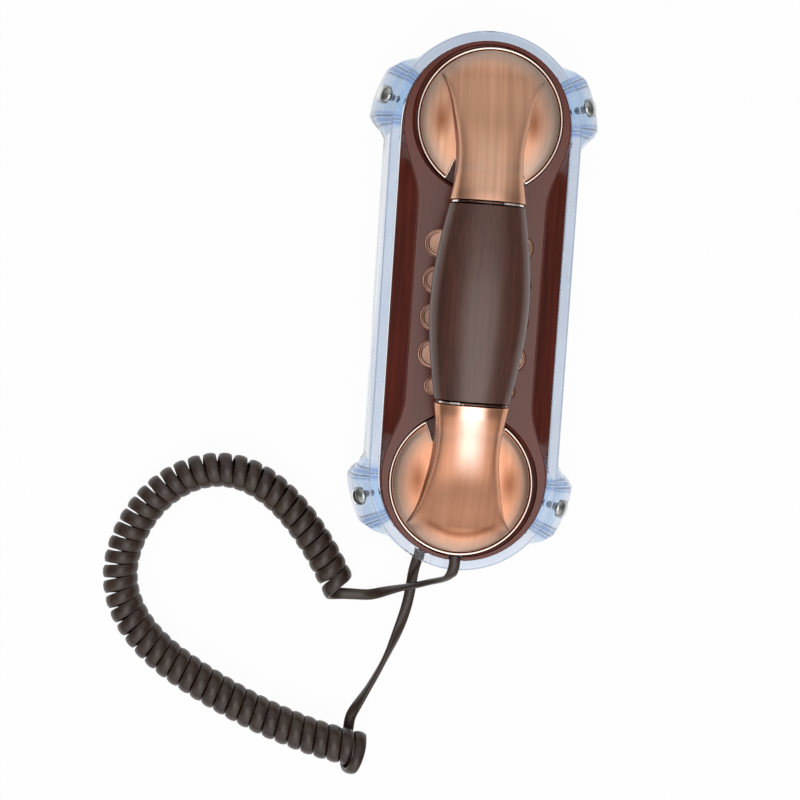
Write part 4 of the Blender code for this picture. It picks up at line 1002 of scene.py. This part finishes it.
# %% [markdown]
# ## The face plate
# The face is a deep, thin-walled shell with a wood look. From its upright wall it slopes up in two facets to a
# flat plateau, which is narrow beside the keys and widens round the cradle cups. The outside is drawn out from
# the wall's foot to the plateau in seven rings. Then the cradle cups, the key holes and the hollow inside are
# cut from it, as the mould's cores would form them.


# %% The shell of the face plate
def face_outline(radius, z, waist=None):
    """An outline of the face plate. Its round ends lie a little further apart than the crystal's."""
    return long_outline(radius, z, 71.65, 40, waist)


FACE_RINGS = [  # radius, height and half width of the waist, in mm
    (34.3, 3.3), (34.3, 24.6), (34.2, 25.0), (33.9, 25.3), (33.8, 28.5, 26.3), (33.65, 28.85, 26.0),
    (33.3, 29.0, 25.6),
]  # fmt: skip
face = as_object("face_plate_lacquered", drawn_out([face_outline(*ring) for ring in FACE_RINGS]), 18)
hollow = drawn_out([face_outline(32.1, 3.0), face_outline(32.1, 16.2)])
carve(face, as_object("hollow", hollow), 18)
carve_box(face, (0, 0, 0.0205), (0.046, 0.079, 0.011), 18)  # the well under the keys

# %% Where the handset and the keys lie
# The handset lies a little turned in its cradle, and each deep cup is cut where its own end lies.
HANDSET_TURN = Matrix.Translation((0, -0.1 * MM, 0)) @ Matrix.Rotation(math.radians(-0.73), 4, "Z")
KEY_COLUMNS, KEY_ROWS = (-16, 0, 16), (23.25, 8.3, -6.65, -21.6)
KEY_LABELS = (1, 2, 3, 4, 5, 6, 7, 8, 9, "star", 0, "hash")
FUNCTION_COLUMNS, FUNCTION_ROW = {"key_mute": -14.6, "key_flash": 0, "key_redial": 14.6}, -34.6
keys = [(f"key_{label}", KEY_COLUMNS[n % 3], KEY_ROWS[n // 3], 5.5) for n, label in enumerate(KEY_LABELS)]
keys += [(name, x, FUNCTION_ROW, 3.5) for name, x in FUNCTION_COLUMNS.items()]


# %% Cradle cups and holes in the face plate
def drill(target, profile, x, y, steps):
    """Cuts a turned core out of the target at x, y in mm."""
    core = turned(profile, steps)
    bmesh.ops.translate(core, verts=core.verts, vec=(x * MM, y * MM, 0))
    carve(target, as_object("core", core), 18)


LEDGE = [(0, 27.7), (28.9, 27.7), (30.0, 28.15), (30.2, 28.4), (30.35, 29.0), (30.35, 31), (0, 31)]
CRADLE_CUP = [(0, 18.5), (28.2, 18.5), (29.65, 20.0), (29.65, 31), (0, 31)]
PLUNGER_HOLE = [(0, 15), (3.0, 15), (3.0, 18.3), (3.3, 18.6), (3.3, 19.5), (0, 19.5)]
for _, end in BOTH_ENDS:
    drill(face, LEDGE, 0, end * CUP_CENTRE, 128)
    drill(face, CRADLE_CUP, *(HANDSET_TURN @ Vector((0, end * CUP_CENTRE * MM, 0)) / MM).xy, 128)
for name, x, y, radius in keys:
    hole = radius + 0.4
    drill(face, [(0, 24.8), (hole, 24.8), (hole, 28.75), (hole + 0.25, 29.0), (hole + 0.25, 31), (0, 31)], x, y, 48)
drill(face, PLUNGER_HOLE, 0, 84, 40)
carve_box(face, (-0.0012, -0.106, 0.0277), (0.0064, 0.012, 0.006), 18)  # the notch for the handset's lead
place(face, "body", FACE_WOOD, "face_wood", "face_plate")

# %% [markdown]
# ## The keys
# A key is a round copper button. A bright bevelled rim stands up round a slightly lower flat centre, and the
# flange under the face keeps it from falling out. All of them are the same turned shape in two sizes.


# %% The keys
def key_profile(radius):
    """A flat centre, a bright round rim that stands 0.3 mm above it, and the flange below."""
    return [(0, 30.4), (radius * 0.76, 30.4), (radius * 0.8, 30.44), (radius * 0.84, 30.58), (radius * 0.89, 30.6),
            (radius * 0.94, 30.4), (radius * 0.98, 29.8), (radius, 29.4), (radius, 25.6), (radius + 1, 25.6),
            (radius + 1, 24.7), (0, 24.7)]  # fmt: skip


for name, x, y, radius in keys:
    key = turned(key_profile(radius), 56)
    bmesh.ops.translate(key, verts=key.verts, vec=(x * MM, y * MM, 0))
    place(as_object(f"{name}_copper", key, 30), name, KEY_COPPER, "copper", name)

# %% [markdown]
# ## The handset's grip
# The grip is a long barrel that is widest in the middle. Its section is a superellipse, fuller than an oval,
# and half its width follows a cosine along its length. It is drawn out in many short steps, so that the light
# runs over it without facets. The handset lies a little turned in its cradle, so every piece of it is built
# straight and turned at the end.

# %% The grip
GRIP_Z, GRIP_END, GRIP_STEPS = 57.5, 37.9, 60


def soft_section(half_width, half_height, y, z, steps=64, fullness=2.3):
    """A superellipse across the handset at that y, in mm."""
    ring = []
    for step in range(steps):
        angle = 2 * math.pi * step / steps
        c, s = math.cos(angle), math.sin(angle)
        x = math.copysign(abs(c) ** (2 / fullness), c) * half_width
        up = math.copysign(abs(s) ** (2 / fullness), s) * half_height
        ring.append(Vector((x, y, z + up)) * MM)
    return ring


def grip_size(y):
    """Half width and half thickness of the grip at y: the cosine law between its middle and its ends."""
    share = math.cos(math.pi / 2 * y / GRIP_END)
    return 14.8 + (19.3 - 14.8) * share, 10.0 + (13.0 - 10.0) * share


def on_handset(bm):
    """Turns a piece of the handset from its straight place to the way it lies in the cradle."""
    bmesh.ops.transform(bm, matrix=HANDSET_TURN, verts=bm.verts)
    return bm


grip_rings = [soft_section(14.0, 9.2, -GRIP_END, GRIP_Z)]
for step in range(GRIP_STEPS + 1):
    y = -37.7 + 75.4 * step / GRIP_STEPS
    grip_rings.append(soft_section(*grip_size(y), y, GRIP_Z))
grip_rings.append(soft_section(14.0, 9.2, GRIP_END, GRIP_Z))
grip = as_object("grip_barrel", on_handset(drawn_out(grip_rings)), 30)
place(grip, "handset", GRIP_WOOD, "grip_wood", "grip_sleeve")

# %% [markdown]
# ## The chrome bands
# Between the grip and each cap lies a thin chrome band. It has a rounded edge and catches one bright line,
# which painted dark reflections break into pieces.

# %% The bands
BAND_STATIONS = [(38.2, 0.8), (38.25, 0.5), (38.4, 0.3), (38.75, 0.25), (39.1, 0.3), (39.25, 0.5), (39.3, 0.8)]
for name, end in BOTH_ENDS:
    rings = [soft_section(14.35 - less, 9.55 - less, end * y, GRIP_Z) for y, less in BAND_STATIONS]
    band = as_object(f"{name}_band", on_handset(drawn_out(rings)), 60)
    place(band, "handset", BAND_CHROME, "chrome", f"chrome_band_{name}")

# %% [markdown]
# ## The copper caps
# Each cap is one stamped and plated piece with three forms: a low dished disc over the cup, a raised strip
# that runs from the grip down over the disc and flares at its far end, and a neck under the strip that joins
# grip and cup. Each form is made on its own, the disc by turning and the two others by drawing out, and they
# are joined into one body. The strip's stations say how wide, high and crowned it is along the way.

# %% The strip and the neck
CAP_STATIONS = [  # distance from the middle, half width, top, height of the crown, foot, in mm
    (39.6, 14.7, 67.3, 9.7, 57.4), (43.5, 14.0, 66.9, 8.8, 55.6), (46.5, 13.5, 66.1, 8.0, 51.2),
    (48.6, 13.2, 65.4, 7.4, 43.5), (49.8, 13.0, 64.9, 7.1, 35.0), (50.5, 12.9, 64.6, 7.0, 29.3),
    (56, 12.7, 62.2, 6.3, 29.3), (62, 13.0, 58.9, 5.6, 29.3), (68, 13.9, 54.9, 5.0, 29.3),
    (74, 15.1, 50.2, 4.4, 29.3), (80, 16.4, 45.0, 3.8, 29.3), (85, 18.0, 40.5, 3.2, 29.3),
    (88.5, 19.6, 37.4, 2.6, 29.3), (91, 20.9, 35.3, 2.1, 29.3), (93.5, 19.0, 33.6, 1.7, 29.3),
    (96, 16.3, 32.2, 1.3, 29.3), (98.3, 12.6, 31.1, 0.9, 29.2), (100.2, 7.6, 30.2, 0.5, 29.1),
    (101.2, 2.5, 29.7, 0.2, 29.0),
]  # fmt: skip
NECK_STATIONS = [  # distance from the middle, half width, top, underside, rounding
    (39.6, 14.6, 57.0, 47.5, 9.3), (43.5, 13.9, 54.9, 46.4, 7.0), (46.0, 13.4, 51.3, 43.0, 6.0),
    (47.2, 13.2, 47.3, 36.0, 5.0), (47.8, 13.1, 45.1, 26.8, 0.5), (48.8, 13.0, 39.7, 26.8, 0.5),
    (49.4, 12.9, 35.5, 26.8, 0.5),
]  # fmt: skip


def eased_stations(stations, steps):
    """The stations again with steps between each two, along a smooth curve through all their values."""
    found = []
    for index in range(len(stations) - 1):
        before = stations[max(index - 1, 0)]
        first, second = stations[index], stations[index + 1]
        after = stations[min(index + 2, len(stations) - 1)]
        near, span, far = first[0] - before[0], second[0] - first[0], after[0] - second[0]
        for step in range(steps):
            t = step / steps
            row = []
            for a, b, c, d in zip(before, first, second, after):
                slope_in, slope_out = (c - a) / (span + near), (d - b) / (span + far)
                rise = (2 * t**3 - 3 * t**2 + 1) * b + (t**3 - 2 * t**2 + t) * span * slope_in
                row.append(rise + (3 * t**2 - 2 * t**3) * c + (t**3 - t**2) * span * slope_out)
            found.append(tuple(row))
    return [*found, stations[-1]]


def arch(half_width, wall_z, tip_z, y, steps=28, fullness=2.3):
    """The outline over the strip: up one wall, over the crown and down the other, and back along the foot."""
    ring = []
    for step in range(steps + 1):
        angle = math.pi * step / steps
        c, s = math.cos(angle), math.sin(angle)
        x = math.copysign(abs(c) ** (2 / fullness), c) * half_width
        ring.append(Vector((x, y, wall_z + abs(s) ** (2 / fullness) * (tip_z - wall_z))) * MM)
    return ring


def strip(end):
    """The raised strip over the disc, from the band down to its flared foot."""
    rings = []
    for y, half, top, crown, foot in eased_stations(CAP_STATIONS, 4):
        ring = arch(half, top - crown, top, end * y)
        low = min(foot, top - crown - 0.1)
        rings.append([Vector((half, end * y, low)) * MM, *ring, Vector((-half, end * y, low)) * MM])
    return as_object("strip", drawn_out(rings), 30)


def neck(end, steps=12):
    """The neck under the strip, with two rounded lower edges."""
    rings = []
    for y, half, top, under, rounding in eased_stations(NECK_STATIONS, 3):
        rounding = max(rounding, 0.3)
        ring = [Vector((half, end * y, top)) * MM, Vector((-half, end * y, top)) * MM]
        for side in (-1, 1):
            for step in range(steps + 1):
                angle = math.pi / 2 * step / steps if side < 0 else math.pi / 2 * (1 - step / steps)
                x = side * (half - rounding * (1 - math.cos(angle)))
                ring.append(Vector((x, end * y, under + rounding * (1 - math.sin(angle)))) * MM)
        rings.append(ring)
    return as_object("neck", drawn_out(rings), 30)


# %% The disc, and the whole cap
DISC = [(0, 32.6), (4, 32.55), (8, 32.4), (12, 32.08), (16, 31.6), (20, 31.0), (23, 30.5), (25.5, 30.08),
        (27.2, 29.75), (27.75, 29.55), (28, 29.25), (28, 28.6), (0, 28.6)]  # fmt: skip
WEDGE = [(12.5, 49.0, 28), (16.6, 49.0, 28), (12.5, 57.6, 28)]


def cap(name, end, finish):
    """The cap of one end: the disc, cut off flat at the neck, with the strip and the neck joined on."""
    disc = turned(DISC, 128)
    bmesh.ops.translate(disc, verts=disc.verts, vec=(0, end * CUP_CENTRE * MM, 0))
    flat = bmesh.ops.bisect_plane(
        disc, geom=disc.verts[:] + disc.edges[:] + disc.faces[:], plane_co=(0, end * 50 * MM, 0),
        plane_no=(0, -end, 0), clear_outer=True,
    )  # fmt: skip
    bmesh.ops.holes_fill(disc, edges=[item for item in flat["geom_cut"] if isinstance(item, bmesh.types.BMEdge)])
    made = as_object(f"{name}_cap_copper", disc, 30)
    for side in (1, -1):  # beside the strip a wedge is cut out, and the trim wire follows its edge
        wedge = [Vector((side * x, end * y, z)) * MM for x, y, z in WEDGE]
        wedge = drawn_out([wedge, [point + UP * 6 * MM for point in wedge]])
        carve(made, as_object("wedge", wedge), 30)
    carve(made, strip(end), 30, "UNION")
    carve(made, neck(end), 30, "UNION")
    made.data.transform(HANDSET_TURN)
    place(made, "handset", finish, "copper", f"{name}_cap")


cap("ear", 1, EAR_COPPER)
cap("mouth", -1, MOUTH_COPPER)

# %% [markdown]
# ## The trim rings
# A thin bright wire lies round each disc. At the neck it doesn't close: its two ends turn and run a little
# way along the neck. So it is a wire drawn along a path of an arc and two short hooks.


# %% The trim rings
def wire(points, radius, steps=12):
    """A round wire along the points."""
    rings = []
    for index, point in enumerate(points):
        tangent = (points[min(index + 1, len(points) - 1)] - points[max(index - 1, 0)]).normalized()
        across = tangent.cross(UP).normalized()
        over = across.cross(tangent)
        turn = [2 * math.pi * step / steps for step in range(steps)]
        rings.append([point + (across * math.cos(a) + over * math.sin(a)) * radius for a in turn])
    return drawn_out(rings)


TRIM_OPEN = 34.0  # half of the opening at the neck, in degrees
TRIM_RADIUS, TRIM_Z, TRIM_WIRE, TRIM_STEPS = 28.9, 29.0, 0.45 * MM, 112
HOOK = [(15.9, 50.3, 29.15), (15.3, 51.6, 29.6), (14.4, 53.9, 30.05), (13.5, 56.4, 30.45), (13.2, 57.4, 30.55)]
for name, end in BOTH_ENDS:
    arc = []
    for step in range(TRIM_STEPS + 1):
        angle = math.radians(-90 + TRIM_OPEN + (360 - 2 * TRIM_OPEN) * step / TRIM_STEPS)
        x, y = TRIM_RADIUS * math.cos(angle), end * (CUP_CENTRE + TRIM_RADIUS * math.sin(angle))
        arc.append(Vector((x, y, TRIM_Z)) * MM)
    right = [Vector((x, end * y, z)) * MM for x, y, z in HOOK]
    left = [Vector((-point.x, point.y, point.z)) for point in right]
    trim = wire([*reversed(right), *arc, *left], TRIM_WIRE)
    trim = as_object(f"{name}_trim_wire", on_handset(trim), 60)
    place(trim, "handset", TRIM_COPPER, "copper", f"{name}_trim_ring")

# %% [markdown]
# ## The cups of the handset
# Under each cap sits a dark plastic cup that holds the receiver or the microphone. It is a thin turned shell
# with a flange inside its rim, which closes the notch beside the strip from below. Seven small holes let the
# sound through its floor.

# %% The cups
CUP = [(0, 19.2), (26.8, 19.2), (28.2, 19.7), (29.0, 20.9), (29.2, 22.4), (29.2, 28.5), (29.0, 28.7), (28.5, 28.7),
       (28.2, 28.3), (19.5, 28.3), (19.5, 27.8), (27.4, 27.8), (27.4, 22.6), (26.9, 21.3), (25.9, 20.8),
       (0, 20.8)]  # fmt: skip
SOUND_HOLE = [(0, 18.5), (1.5, 18.5), (1.5, 19.1), (1.2, 19.5), (1.2, 21.5), (0, 21.5)]
places = [(0, 0)] + [(5.5 * math.cos(n * math.pi / 3), 5.5 * math.sin(n * math.pi / 3)) for n in range(6)]
for name, end in BOTH_ENDS:
    shell = turned(CUP, 128)
    bmesh.ops.translate(shell, verts=shell.verts, vec=(0, end * CUP_CENTRE * MM, 0))
    cup = as_object(f"{name}_cup_shell", shell, 30)
    for x, y in places:
        drill(cup, SOUND_HOLE, x, end * CUP_CENTRE + y, 24)
    cup.data.transform(HANDSET_TURN)
    place(cup, "handset", CUP_PLASTIC, "cup_plastic", f"{name}_cup")

# %% [markdown]
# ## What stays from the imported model
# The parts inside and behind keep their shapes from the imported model: back cover, screws, board, mat, hook
# switch, ringer, jacks and plugs. They only get a finish with its own grain and wear, by what they are made of.

# %% Finishes for the carried-over nodes
FINISHES = {
    "back_plastic": BACK_PLASTIC, "black_plastic": BLACK_PLASTIC, "steel": STEEL,
    "silicone": SILICONE, "board": BOARD_LACQUER, "plug_plastic": PLUG_PLASTIC,
}  # fmt: skip
slot_of = {row["node"]: row["material_slot"] for row in frame["record"]["subparts"]}
for name, carried in sorted(NODES.items()):
    if carried.hide_render:
        continue
    finish = FINISHES.get(slot_of.get(name))
    if finish is None:
        print("no finish for", name, slot_of.get(name))
        continue
    carried.data.materials.clear()
    carried.data.materials.append(finish)
    print(f"{name}: {finish.name}")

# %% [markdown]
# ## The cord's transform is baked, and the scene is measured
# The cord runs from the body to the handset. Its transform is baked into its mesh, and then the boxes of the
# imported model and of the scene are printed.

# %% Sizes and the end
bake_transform(cord)
boxes = {"cad": [list(corner) for corner in cad_box], "visual": [list(corner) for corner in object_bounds()]}
for label, corners in boxes.items():
    print(label, [[round(value / MM, 1) for value in corner] for corner in corners])
